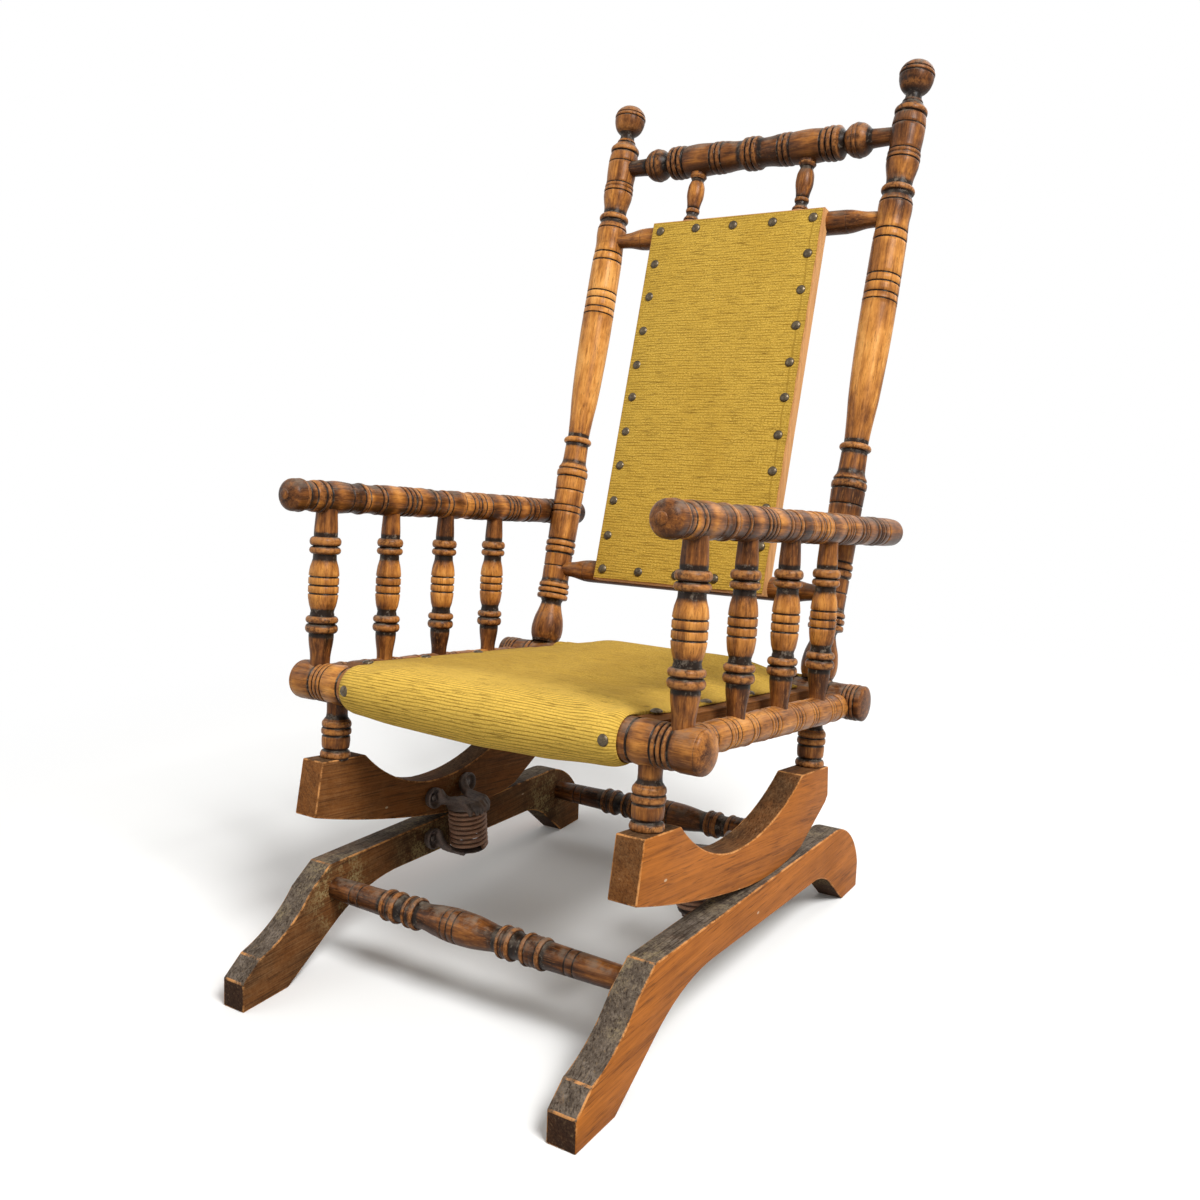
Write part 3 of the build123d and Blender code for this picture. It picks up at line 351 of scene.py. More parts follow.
def ribbed_cloth():
    """Old mustard cloth: fine crosswise ribbing, uneven in strength, a grainy nap, soiling that on
    the seat has patches of painted shade, and painted light on the seat's front roll.
    """
    s = Shader("mustard cloth", 0.94, Sheen_Weight=0.04, Sheen_Roughness=0.5,
               Specular_IOR_Level=0.05)
    cloth = s.attribute("cloth", True)
    rub_and_painted_shade = s.attribute("wear")
    rib_strength_and_painted_light = s.attribute("rib_strength_and_painted_light")
    drift = s.noise(cloth, (10, 34, 10), 4.0, 0.6)
    along = s.plus(s.part(cloth, "Y"), s.times(drift, 0.0050))
    rib = s.math("SINE", s.times(along, 2 * math.pi / RIB_PITCH))
    crack = s.between(rib, 0.0, -1.0)
    strength = s.between(s.noise(cloth, (34, 420, 34), 4.0, 0.7), 0.38, 0.62, 0.18, 1.0)
    strength = s.times(strength, s.between(rib_strength_and_painted_light, 0.4, 1.0, 0.66, 0.80))
    strength = s.most(strength, s.between(rib_strength_and_painted_light, 0.4, 1.0, 0.0, 0.46))
    crack = s.times(crack, strength)
    slub = s.noise(cloth, (34, 980, 34), 2.0, 0.5)
    line = s.between(slub, 0.40, 0.32, 0.0, 0.85)
    stitch = s.noise(cloth, (420, 700, 420), 3.0, 0.7)
    nap = s.noise(cloth, (950, 950, 950), 3.0, 0.75)
    dark = s.most(crack, line)
    dark = s.most(dark, s.between(stitch, 0.44, 0.28, 0.0, 0.55))
    seam = s.math("ABSOLUTE", s.plus(s.attribute("seam"), s.times(drift, 0.009)))
    dark = s.most(dark, s.between(seam, 0.0022, 0.0002, 0.0, 0.50))
    colour = s.ramp(s.plus(s.times(nap, 0.5), s.times(stitch, 0.5)), *MUSTARD)
    fade = s.noise(cloth, (7, 5, 7), 5.0, 0.62)
    colour = s.mix(s.between(fade, 0.40, 0.68, 0.0, 0.30), colour, FADED)
    # painted light: the seat's front roll and the cloth just behind it are lightened
    colour = s.mix(s.between(rib_strength_and_painted_light, 0.4, 1.0, 0.0, 0.55), colour, PAINTED_LIGHT_ON_ROLL)
    colour = s.mix(dark, colour, BETWEEN_RIBS)
    # darker where rubbed and soiled, and on the seat also in noise patches that are painted shade
    colour = s.mix(s.times(rub_and_painted_shade, 0.50), colour, SOILED_AND_PAINTED_SHADE)
    spots = s.cells(cloth, (11, 8, 11))
    colour = s.mix(s.between(spots, 0.045, 0.020, 0.0, 0.5), colour, SPOT)
    height = s.math("SUBTRACT", s.times(stitch, 0.6), dark)
    return s.finish(colour, None, s.bump(height, 0.60, 0.7))


def hessian():
    s = Shader("hessian", 0.95)
    cloth = s.attribute("cloth", True)
    waves = []
    for axis in ("X", "Y"):
        wave = s.math("SINE", s.times(s.part(cloth, axis), 2 * math.pi / THREAD_PITCH))
        waves.append(s.plus(s.times(wave, 0.5), 0.5))
    weave = s.times(*waves)
    thread = s.noise(cloth, (160, 160, 160), 5.0, 0.7)
    height = s.plus(s.times(weave, 0.7), s.times(thread, 0.5))
    colour = s.ramp(height, (0.15, (0.130, 0.085, 0.040)), (0.55, (0.330, 0.240, 0.130)),
                    (0.95, (0.480, 0.380, 0.230)))
    return s.finish(colour, None, s.bump(height, 0.5, 0.8))


def iron(name, dark, rust, rust_share, metal=0.55, base_rough=0.55):
    """Old iron or bronze, with grain, rust or rubbed spots, dust, and a light speckle that is
    partly painted glints.
    """
    s = Shader(name, Metallic=metal, Specular_IOR_Level=0.35)
    local = s.attribute("local", True)
    patch = s.noise(local, 90.0, 5.0, 0.7)
    fine = s.noise(local, 900.0, 4.0, 0.7)
    colour = s.mix(s.between(patch, 0.42, 0.66, 0.0, rust_share), dark, rust)
    # light fine speckle: partly the cast grain, partly painted glints
    colour = s.mix(s.between(fine, 0.42, 0.66, 0.0, 0.50), colour, tuple(2.6 * c for c in dark))
    colour = s.mix(s.between(patch, 0.44, 0.30, 0.0, 0.60), colour, tuple(0.35 * c for c in dark))
    dust = s.times(s.between(s.upward(), 0.4, 1.0), s.between(patch, 0.40, 0.62, 0.0, 0.30))
    colour = s.mix(dust, colour, DUST)
    rough = s.between(fine, 0.3, 0.7, base_rough - 0.12, base_rough + 0.16)
    normal = s.bump(fine, 0.15, 0.5, s.bump(patch, 0.6, 0.3))
    return s.finish(colour, rough, normal)


TURNED = turned_wood()
# cream stains on the boards: x, y, z, then how far each reaches in full and at all
SPLASHES = ((199, -262, 80, 10, 62), (199, -120, 70, 10, 72), (199, 125, 60, 5, 60),
            (222, -322, 66, 0, 20), (193, -60, 122, 5, 45))
STAINS = [(tuple(MM * c for c in platform(side * x, y, z)), inner * MM, outer * MM)
          for side in SIDES for x, y, z, inner, outer in SPLASHES]
BOARD = board_wood("board wood", (0.440, 0.140, 0.022), (0.180, 0.054, 0.010), 0.45, STAINS)
RAW = board_wood("raw wood", (0.780, 0.410, 0.165), (0.560, 0.260, 0.090), 0.15)
CLOTH = ribbed_cloth()
HESSIAN = hessian()
IRON = iron("cast iron", (0.096, 0.074, 0.064), (0.190, 0.112, 0.076), 0.5, 0.25)
COIL = iron("coil steel", (0.215, 0.118, 0.074), (0.340, 0.165, 0.088), 0.7, 0.25, 0.5)
BRONZE = iron("aged bronze", (0.070, 0.054, 0.036), (0.170, 0.128, 0.070), 0.5, 0.8, 0.34)
STEEL = iron("dull steel", (0.090, 0.075, 0.066), (0.120, 0.080, 0.055), 0.5, 0.8, 0.45)


# ---------------------------------------------------------------- meshes
def placed(name, data):
    """A new object in the scene."""
    obj = bpy.data.objects.new(name, data)
    bpy.context.scene.collection.objects.link(obj)
    return obj


def piece(name, points, faces, body, slot, material, stands_for=(), smooth=40):
    """A mesh in metres that rides on a body, shaded smooth up to an angle."""
    mesh = bpy.data.meshes.new(name)
    mesh.from_pydata([tuple(MM * c for c in p) for p in points], [], faces)
    mesh.validate()
    obj = placed(name, mesh)
    soften(mesh, smooth)
    mesh.materials.append(material)
    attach(obj, body)
    if stands_for:
        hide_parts(*stands_for)
    return obj


def soften(mesh, angle):
    mesh.polygons.foreach_set("use_smooth", [True] * len(mesh.polygons))
    mesh.set_sharp_from_angle(angle=math.radians(angle))


def give(mesh, name, values, domain="POINT"):
    """Store numbers or vectors on a mesh for its material to read."""
    vector = hasattr(values[0], "__len__")
    layer = mesh.attributes.new(name, "FLOAT_VECTOR" if vector else "FLOAT", domain)
    flat = np.asarray(values, dtype=np.float32).ravel()
    layer.data.foreach_set("vector" if vector else "value", flat)


def give_local(mesh, seed=0, grain=(0, 1, 0)):
    """Texture coordinates that differ from piece to piece, their second axis along the grain."""
    along = Vector(grain)
    third = along.orthogonal().normalized()
    shift = Vector((0.37, 0.71, 0.53)) * (seed % 97)
    aside = along.cross(third)
    give(mesh, "local", [tuple(Vector((v.co.dot(aside), v.co.dot(along), v.co.dot(third))) + shift)
                         for v in mesh.vertices])


def name_seed(name):
    return sum((k + 1) * ord(c) for k, c in enumerate(name))


def eased(knots, at):
    """Values between (place, value) knots, eased so that none is overshot."""
    s, r = np.array(knots, float).T
    gap = np.diff(s)
    rise = np.diff(r) / gap
    lean = np.zeros_like(s)
    product = rise[:-1] * rise[1:]
    total = rise[:-1] + rise[1:]
    same = product > 1e-12
    lean[1:-1][same] = 2 * product[same] / total[same]
    k = np.clip(np.searchsorted(s, at, side="right") - 1, 0, len(gap) - 1)
    t = np.clip((at - s[k]) / gap[k], 0, 1)
    return ((1 + 2 * t) * (1 - t) ** 2 * r[k] + t * (1 - t) ** 2 * gap[k] * lean[k]
            + t * t * (3 - 2 * t) * r[k + 1] + t * t * (t - 1) * gap[k] * lean[k + 1])


def eased_at(knots, at):
    return float(eased(knots, np.array([float(at)]))[0])


def circle(around):
    """(cosine, sine) of even steps of one turn."""
    turns = [2 * math.pi * k / around for k in range(around)]
    return [(math.cos(turn), math.sin(turn)) for turn in turns]


def round_faces(rows, around):
    """The sides and both ends of a round skin, whose points lie in rows."""
    faces = []
    for start in range(0, (rows - 1) * around, around):
        for k in range(around):
            n = (k + 1) % around
            faces.append((start + k, start + n, start + around + n, start + around + k))
    last = (rows - 1) * around
    return faces + [tuple(range(around))[::-1], tuple(range(last, last + around))]


class Lathe:
    """A turned shape along one axis: an eased outline, rings raised on it, lines cut in it."""

    def __init__(self, knots, beads=(), cuts=(), domes=(0, 0), tone=0.5):
        self.knots = knots
        self.beads = list(beads)
        self.cuts = list(cuts)
        self.domes = domes
        self.tone = tone

    def stations(self):
        low, high = self.knots[0][0], self.knots[-1][0]
        marks = {low, high, *(s for s, _ in self.knots)}
        for centre, width, _ in self.beads:
            marks |= {centre + width / 2 * math.sin(k * math.pi / 8) for k in range(-4, 5)}
        for centre, width, _ in self.cuts:
            marks |= {centre + width / 2 * k for k in (-1, -0.6, -0.25, 0.25, 0.6, 1)}
        for length, end, way in ((self.domes[0], low, 1), (self.domes[1], high, -1)):
            if length:
                marks |= {end + way * length * (1 - math.cos(k * math.pi / 16)) for k in range(9)}
        marks = sorted(m for m in marks if low <= m <= high)
        full = [marks[0]]
        for mark in marks[1:]:
            if mark - full[-1] < 0.12:
                continue
            steps = math.ceil((mark - full[-1]) / 4.0)
            start = full[-1]
            full += [start + (mark - start) * k / steps for k in range(1, steps + 1)]
        return np.array(full)

    def radii(self, at, domed=True):
        radius = eased(self.knots, at)
        for centre, width, height in self.beads:
            u = (at - centre) / (width / 2)
            radius = radius + height * np.sqrt(np.clip(1 - u * u, 0, 1))
        for centre, width, depth in self.cuts:
            u = np.clip((at - centre) / (width / 2), -1, 1)
            radius = radius - depth * (1 - u * u) ** 2
        low, high = self.knots[0][0], self.knots[-1][0]
        for length, depth in ((self.domes[0], at - low), (self.domes[1], high - at)):
            if length and domed:
                t = np.clip(1 - depth / length, 0, 1)
                radius = radius * np.sqrt(1 - t * t)
        return radius

    def ridges(self, at, radius):
        """How far each place stands out from, or lies below, what is near it."""
        fine = np.arange(at[0], at[-1], 0.5)
        level = np.interp(fine, at, radius)
        spread = 13
        padded = np.pad(level, spread, mode="edge")
        mean = np.convolve(padded, np.ones(2 * spread + 1) / (2 * spread + 1), "valid")
        return np.clip((radius - np.interp(at, fine, mean)) / 1.3, -1, 1)


def turned(name, body, origin, direction, shape, stands_for=(), around=44):
    """A turned piece on the axis through origin, its shape measured along the axis."""
    axis = direction.normalized()
    aside = axis.orthogonal().normalized()
    third = axis.cross(aside)
    at = shape.stations()
    radius = shape.radii(at)
    ridge = shape.ridges(at, shape.radii(at, False))
    listed = hasattr(shape.tone, "__len__")
    tone = eased(shape.tone, at) if listed else np.full(len(at), shape.tone)
    shift = 0.41 * (name_seed(name) % 89)
    points, local, wear, tones = [], [], [], []
    for s, r, w, t in zip(at, radius, ridge, tone):
        for cosine, sine in circle(around):
            uneven = 1 + 0.006 * noise.noise(Vector((cosine, sine, s * 0.02 + shift)))
            across, up = (max(r, 0.05) * uneven * c for c in (cosine, sine))
            points.append(origin + axis * s + aside * across + third * up)
            local.append((across * MM + shift, up * MM, s * MM))
        wear += [w] * around
        tones += [t] * around
    obj = piece(name, points, round_faces(len(at), around), body, "turned_wood", TURNED,
                stands_for, 50)
    for key, values in (("local", local), ("wear", wear), ("tone", tones)):
        give(obj.data, key, values)
    return obj


def alike(width, height, *centres):
    """Rings or lines of one width and height."""
    return [(centre, width, height) for centre in centres]


def both(items):
    """Rings or lines repeated on the other side of the middle."""
    return [(way * centre, *rest) for centre, *rest in items for way in (-1, 1)]


def mirrored_knots(half):
    """An outline given from the middle outwards, repeated to the other side."""
    return [(-s, r) for s, r in reversed(half) if s > 0] + list(half)


# ---------------------------------------------------------------- turned pieces
def back_posts():
    knots = [(21.0, 17.8), (30, 20.8), (38, 21.6), (52, 20.0), (66, 15.8), (76, 13.8), (79.5, 15.2),
             (81, 18.8), (104, 19.0), (106, 18.4), (128, 18.6), (150, 18.9), (168, 19.2),
             (204, 19.8), (218, 19.6), (234, 20.0), (258, 20.6), (266, 20.0), (270, 17.6),
             (274, 16.4), (299, 15.6), (310, 14.7), (318, 15.0), (340, 16.4), (365, 18.5),
             (400, 20.0), (433, 20.9), (470, 21.3), (520, 21.1), (566, 20.8), (577, 20.2),
             (590, 19.6), (606, 20.8), (614, 20.6), (622, 18.0), (626, 17.4), (636, 16.0),
             (643, 16.2), (655, 18.6), (664.5, 20.2), (675, 19.6), (684, 19.4), (696, 20.2),
             (712, 20.6), (724, 19.6), (729, 18.4), (737, 17.4), (742, 13.6), (748, 10.6),
             (754.5, 9.9), (757, 10.6), (760, 14.5), (766, 18.8), (777, 21.4), (785, 21.0),
             (791, 18.2), (795, 14.0), (797.4, 9.0), (798.4, 0.4)]
    beads = [(84, 7.5, 2.4), (92, 7.0, 2.3), (99.5, 6.5, 1.8), (149.5, 8, 1.6), (158, 7, 1.5),
             (257.5, 8, 0.9), (304.5, 8.5, 4.2), (487.5, 6, 0.3), (630.5, 9, 4.0), (671, 4.5, 0.8),
             (677, 4.5, 0.8), (732.5, 8, 2.2), (782, 3.6, 0.7), (746, 4, 1.2)]
    cuts = [(88, 2.4, 1.8), (96, 2.4, 1.6), (126, 2.6, 1.0), (144, 2.6, 1.5), (153.8, 2.2, 1.2),
            (233, 2.6, 1.3), (712, 2.6, 1.3), (252, 2.8, 1.6), (263, 3, 1.2), (565, 3.4, 1.8),
            (577, 3.4, 1.8), (613, 2.8, 1.4), (668, 2.4, 1.2), (680, 2.4, 1.2), (779, 2.2, 1.1),
            (785, 2.2, 1.1)]
    cuts += alike(2.6, 1.4, 163, 202, 211, 727.5)
    cuts += alike(3.0, 1.6, 487, 496, 509, 519.5)
    tone = [(21, 0.40), (90, 0.42), (170, 0.46), (250, 0.48), (300, 0.58), (330, 0.74), (400, 0.84),
            (480, 0.78), (560, 0.74), (610, 0.52), (640, 0.42), (720, 0.40), (740, 0.26),
            (777, 0.20), (798, 0.12)]
    for side, word in SIDES.items():
        direction = post_point(side, 700) - post_point(side, 0)
        # the posts' tones, with painted shade darkening the left post and painted light lifting the
        # right one
        tones_with_painted_light = [(at, value - 0.02 * (1 + side) * 2 + 0.05 * (1 - side)) for at, value in tone]
        turned(f"back_post_turned_{word}", "chair", post_point(side, 0), direction,
               Lathe(knots, beads, cuts, tone=tones_with_painted_light), [f"back_post_{word}"], around=52)


def arm_rails():
    knots = [(-264, 17.6), (-246, 18.2), (-240, 17.4), (-236, 16.2), (-229, 16.6), (-222, 18.0),
             (-206, 17.4), (-192, 18.6), (-175, 17.6), (-165, 16.6), (-157, 17.6), (-149, 17.2),
             (-138, 16.4), (-128, 16.8), (-108, 18.2), (-88, 17.4), (-64, 17.2), (-50, 18.2),
             (-37, 17.0), (-21, 16.4), (-5, 16.8), (8, 17.8), (21, 17.2), (30, 16.4), (39, 17.0),
             (53, 17.0), (63, 17.8), (73, 17.0), (91, 17.8), (109, 16.9), (130, 16.9), (142, 17.7),
             (155, 16.8), (168, 16.6), (200, 16.6), (262, 17.0), (288, 16.2)]
    beads = [(-243, 5, 0.6), (207, 5, 0.6), (-213, 6, 0.8), (-68, 6, 0.8), (-153, 7, 0.9),
             (-125.5, 4.5, 0.8), (-84.5, 5.5, 0.8), (-76.5, 6, 0.9), (-33, 6, 0.9), (-9, 6.5, 0.9),
             (18, 4, 0.6), (70, 4, 0.6), (113, 5.5, 0.9), (120.5, 5, 0.9), (158, 4, 0.7),
             (172, 4, 0.5), (221, 5, 0.7)]
    beads += alike(5, 0.8, 41, 55, 127)
    cuts = [(c, 3.2, 1.25)
            for c in (-239, -229, -217, -208, -175, -157, -149, -128, -122, -88, -80.5, -72, -64,
                      -37, -29, -13, -5, 21, 37, 45, 51, 60, 73, 109, 117, 124, 131, 154, 165, 176,
                      202, 213, 226, 240)]
    tone = [(-264, 0.32), (-246, 0.26), (-236, 0.24), (-228, 0.60), (-218, 0.30), (-206, 0.28),
            (-195, 0.58), (-178, 0.34), (-160, 0.24), (-150, 0.58), (-138, 0.32), (-120, 0.26),
            (-104, 0.62), (-90, 0.34), (-76, 0.28), (-60, 0.62), (-45, 0.38), (-30, 0.28),
            (-14, 0.54), (6, 0.34), (26, 0.62), (46, 0.30), (62, 0.58), (78, 0.34), (96, 0.64),
            (112, 0.34), (126, 0.28), (142, 0.58), (160, 0.32), (186, 0.52), (204, 0.32),
            (218, 0.30), (238, 0.52), (262, 0.34), (288, 0.26)]
    for side, word in SIDES.items():
        arm = turned(f"arm_turned_{word}", "chair", chair(side * SIDE_X, 0, ARM_W), BACK,
                     Lathe(knots, beads, cuts, domes=(11, 5), tone=tone), [f"arm_rail_{word}"],
                     around=52)
        rings = [(-265.6, 6.3), (-262, 6.4), (-258, 6.6)]
        button = turned(f"arm_button_{word}", "chair", chair(side * SIDE_X, 0, ARM_W), BACK,
                        Lathe(rings, cuts=[(-263.0, 1.0, 0.5)], domes=(2.2, 0), tone=0.44))
        button.parent = arm
        button.matrix_parent_inverse = arm.matrix_world.inverted()


def spindle_shape(rail_top, end_r, barrel_r):
    """A baluster with a band of three lines round its barrel and two pairs of rings."""
    low, high = rail_top + 32, ARM_W - 17.3 - 27
    waist = end_r + 2.0
    middle = (low + 22 + high - 22) / 2
    knots = [(rail_top - 8, end_r), (rail_top + 2, end_r), (low - 3, waist + 0.9),
             (low, waist + 0.8), (low + 22, waist + 0.4), (low + 25, waist - 0.3),
             (low + 32, waist + 1.8), (middle - 10, barrel_r), (middle + 10, barrel_r + 0.1),
             (high - 34, barrel_r - 1.2), (high - 26, waist + 0.2), (high - 22, waist),
             (high, waist), (high + 3, waist + 0.1), (ARM_W - 16, end_r + 0.9),
             (ARM_W - 4, end_r + 0.8)]
    raised = barrel_r + 0.7 - waist
    beads = [(low + 6, 11, raised), (low + 15.8, 9, raised), (high - 15.8, 9, raised),
             (high - 6, 11, raised)]
    cuts = [(middle + k, 3.2, 1.5) for k in (-9.5, 0, 9.5)]
    cuts += [(low + 11.2, 2.2, 0.8), (high - 11.2, 2.2, 0.8)]
    tone = [(rail_top - 8, 0.42), (low, 0.38), (low + 28, 0.50), (middle - 18, 0.68),
            (middle + 18, 0.72), (high - 26, 0.50), (high + 4, 0.42), (ARM_W, 0.26)]
    return Lathe(knots, beads, cuts, tone=tone)


def arm_spindles():
    front = spindle_shape(197.5, 11.2, 17.0)
    rest = spindle_shape(194.5, 9.4, 14.8)
    for side, word in SIDES.items():
        for index, v in enumerate((-201.0, -97.5, 0.0, 97.5)):
            turned(f"spindle_turned_{word}_{index + 1}", "chair", chair(side * SIDE_X, v, 0), UP,
                   rest if index else front, [f"arm_spindle_{word}_{index + 1}"])


def seat_rails():
    half = [(0, 22.2), (184, 22.2), (190, 21.4), (200, 22.6), (213, 22.0), (219, 21.2), (236, 21.0),
            (242, 22.2), (258, 22.4), (271, 21.0)]
    cuts = both([(190, 3.4, 1.6), (216, 3, 1.5), (222, 2.6, 1.4), (228, 2.6, 1.4), (234.5, 3, 1.5),
                 (262, 2, 0.5)])
    beads = both([(219, 4.4, 0.9), (225, 4.2, 0.9), (231, 4.2, 0.9)])
    tone = mirrored_knots([(0, 0.40), (184, 0.42), (202, 0.66), (225, 0.46), (245, 0.50),
                           (271, 0.54)])
    turned("front_rail_turned", "chair", chair(0, -201, 175), ACROSS,
           Lathe(mirrored_knots(half), beads, cuts, domes=(8, 8), tone=tone), ["seat_front_rail"],
           around=56)
    half = [(0, 20.8), (120, 20.8), (150, 21.6), (170, 20.2), (183, 21.2), (210, 21.2), (226, 20.6),
            (236, 20.2), (258, 20.4), (268, 20.6)]
    cuts = both(alike(3, 1.3, 165, 174, 216, 224) + alike(2.4, 1.2, 243.5, 248.5, 253.5, 258.5))
    beads = both([(220, 5, 0.7)] + alike(4, 0.7, 246, 251, 256))
    turned("rear_rail_turned", "chair", chair(0, REAR_V, REAR_W), ACROSS,
           Lathe(mirrored_knots(half), beads, cuts, domes=(4, 4), tone=0.32), ["seat_rear_rail"],
           around=56)
    knots = [(-196, 14.4), (-176, 15.2), (-168, 15.6), (-160, 14.6), (-146, 16.0), (-128, 15.8),
             (-118, 14.8), (-104, 16.2), (-84, 16.2), (-74, 15.0), (-62, 15.8), (-46, 16.2),
             (-34, 15.0), (-16, 16.4), (12, 16.4), (24, 15.2), (38, 16.0), (56, 16.2), (66, 15.0),
             (82, 16.2), (104, 16.4), (116, 15.2), (132, 15.6), (150, 15.0), (166, 14.2)]
    lines = (-170, -163, -157, -132, -125, -118, -111, -86, -79, -72, -44, -37, -30, -23, 14, 21,
             28, 35, 58, 65, 72, 106, 113, 120, 136, 143)
    beads = [(a / 2 + b / 2, b - a - 1, 0.8) for a, b in zip(lines, lines[1:]) if b - a < 9]
    for side, word in SIDES.items():
        turned(f"side_rail_turned_{word}", "chair", chair(side * SIDE_X, 0, 179), BACK,
               Lathe(knots, beads, [(c, 2.6, 1.1) for c in lines], tone=0.56),
               [f"side_rail_{word}"])


def short_legs():
    for end, v, pad, head in (("front", -201.0, 93.0, 171.0), ("rear", 163.0, 103.0, 180.0)):
        knots = [(pad - 2, 15.6), (pad + 3, 15.8), (pad + 10, 14.6), (pad + 13, 15.4),
                 (pad + 20, 15.9), (pad + 25, 15.6), (pad + 43, 14.4), (pad + 46, 12.2),
                 (pad + 52, 11.7), (head - 16, 12.0), (head, 12.0)]
        beads = [(pad + 4, 8, 1.3), (pad + 30.5, 7.5, 1.5), (pad + 38.5, 7.5, 1.7)]
        cuts = [(pad + 9.5, 3, 1.3), (pad + 25.6, 2.6, 1.2), (pad + 34.5, 2, 1.0)]
        for side, word in SIDES.items():
            turned(f"leg_turned_{end}_{word}", "chair", chair(side * 207, v, 0), UP,
                   Lathe(knots, beads, cuts,
                         tone=[(pad - 2, 0.34), (pad + 18, 0.52), (head, 0.30)]),
                   [f"leg_{end}_{word}"])


def back_rails():
    for name, at, node in (("lower", LOWER_AT, "back_lower_rail"),
                           ("upper", UPPER_AT, "back_upper_rail")):
        end = POST_FOOT_X + at * math.tan(POST_SPLAY) - 8
        half = [(0, 14.9), (146, 14.9), (153, 14.5), (178, 10.2), (end, 9.4)]
        turned(f"back_rail_turned_{name}", "chair", panel_point(0, at, 0), ACROSS,
               Lathe(mirrored_knots(half), cuts=both([(152, 2.4, 0.5)]), tone=0.42), [node])
    half = [(0, 20.4), (10, 20.2), (16, 18.4), (28, 19.0), (40, 20.6), (43, 20.2), (57, 20.4),
            (62, 20.8), (82, 21.8), (98, 20.8), (103, 20.2), (124, 19.6), (128, 15.6), (131, 12.8),
            (135, 16.0), (141, 20.4), (148, 21.6), (155, 20.6), (161, 16.6), (164, 13.2),
            (167, 11.9), (180, 11.2), (203, 10.6)]
    beads = [(0, 7, 2.0)] + both([(7.5, 6, 1.6), (46.5, 6, 1.2), (53.5, 6, 1.2), (106.5, 6.5, 1.8),
                                  (114, 7, 2.6), (121.5, 6.5, 2.2), (148, 4, 0.6)])
    cuts = both([(3.8, 2, 1.0), (50, 2, 1.0), (42, 2.4, 1.2), (58.5, 2.4, 1.2), (101.5, 3, 1.6),
                 (110.3, 2, 1.2), (117.8, 2, 1.2), (145.2, 1.8, 0.8), (150.8, 1.8, 0.8),
                 (165, 2, 0.8)])
    tone = mirrored_knots([(0, 0.26), (25, 0.34), (50, 0.26), (80, 0.36), (112, 0.22), (148, 0.24),
                           (203, 0.30)])
    turned("crest_rail_turned", "chair", panel_point(0, CREST_AT, 0), ACROSS,
           Lathe(mirrored_knots(half), beads, cuts, tone=tone), ["crest_rail"], around=52)
    knots = [(606, 10.6), (612, 10.8), (619, 9.6), (624, 7.6), (630, 8.0), (640, 9.2), (654, 11.6),
             (664, 11.2), (674, 8.2), (677, 7.8), (680, 9.6), (684, 10.0)]
    beads = [(612.5, 6, 1.6), (618.5, 5, 1.0), (630, 6, 1.4), (678.5, 6.5, 2.2), (684, 5, 1.0)]
    for side, word in SIDES.items():
        base = panel_point(side * 81, 0, 0)
        turned(f"crest_spindle_turned_{word}", "chair", base, panel_point(side * 81, 700, 0) - base,
               Lathe(knots, beads, [(633.5, 2, 0.7), (615.6, 1.8, 0.7)],
                     tone=[(606, 0.30), (654, 0.54), (684, 0.36)]), [f"crest_spindle_{word}"],
               around=36)


def stretchers():
    knots = [(-205, 12.4), (-170, 13.2), (-124, 14.0), (-119, 14.6), (-108.5, 16.4), (-98, 14.6),
             (-93, 13.4), (-88, 14.0), (-77.5, 16.8), (-68, 14.4), (-62, 14.0), (-44, 16.4),
             (-20, 18.3), (2, 17.6), (24, 15.0), (36, 13.4), (42, 14.2), (51.5, 16.6), (61, 14.4),
             (67, 13.4), (73, 14.2), (86.5, 16.4), (98, 14.4), (103, 14.0), (170, 13.0),
             (205, 12.4)]
    beads = alike(6, 2.2, -116, -101, 76.5, 96.5)
    beads += alike(5, 2.2, -84, -72, 45, 58)
    cuts = [(-108.5, 5, 0.7), (-78, 4, 0.5), (51.5, 4, 0.5), (86.5, 6, 0.7)]
    cuts += alike(3, 1.0, -167, -154, 128, 138)
    cuts += alike(3.2, 1.1, -29, -20.5, -12)
    tone = [(-205, 0.22), (-100, 0.20), (-20, 0.29), (100, 0.21), (205, 0.24)]
    for name, y, z in (("front", -266.7, 84.7), ("rear", 160.9, 59.9)):
        turned(f"stretcher_turned_{name}", "base", platform(0, y, z), ACROSS,
               Lathe(knots, beads, cuts, tone=tone), [f"base_{name}_stretcher"])


# ---------------------------------------------------------------- boards
def arc_points(start, middle, end, steps):
    """Corners along the circle through three points, start left out."""
    corners = (start, middle, end)
    (ax, ay), (bx, by), (cx, cy) = corners
    aa, bb, cc = (x * x + y * y for x, y in corners)
    d = 2 * (ax * (by - cy) + bx * (cy - ay) + cx * (ay - by))
    ux = (aa * (by - cy) + bb * (cy - ay) + cc * (ay - by)) / d
    uy = (aa * (cx - bx) + bb * (ax - cx) + cc * (bx - ax)) / d
    radius = math.hypot(ax - ux, ay - uy)
    first, between, last = (math.atan2(y - uy, x - ux) for x, y in corners)
    whole = (last - first) % (2 * math.pi)
    if (between - first) % (2 * math.pi) > whole:
        whole -= 2 * math.pi
    turns = [first + whole * k / steps for k in range(1, steps + 1)]
    return [(ux + radius * math.cos(turn), uy + radius * math.sin(turn)) for turn in turns]


def midway(a, b, right, up):
    """The middle of two points, shifted."""
    return ((a[0] + b[0]) / 2 + right, (a[1] + b[1]) / 2 + up)


BOARD_THICK = 32.0
PLATFORM_X, ROCKER_X = 215.0, 209.0
DECK_SLOPE = math.radians(2.7)
DECK_Z = 103.4              # the deck's height where the rockers touch it at rest
DECK_FRONT, DECK_BACK = -273, 143
ARC_FROM, ARC_TO = -3.5, 17.5      # the rockers' true arc, in degrees from the bottom


def deck_z(y):
    contact = -ARM_W * math.sin(DECK_SLOPE)
    return DECK_Z - (y - contact) * math.tan(DECK_SLOPE)


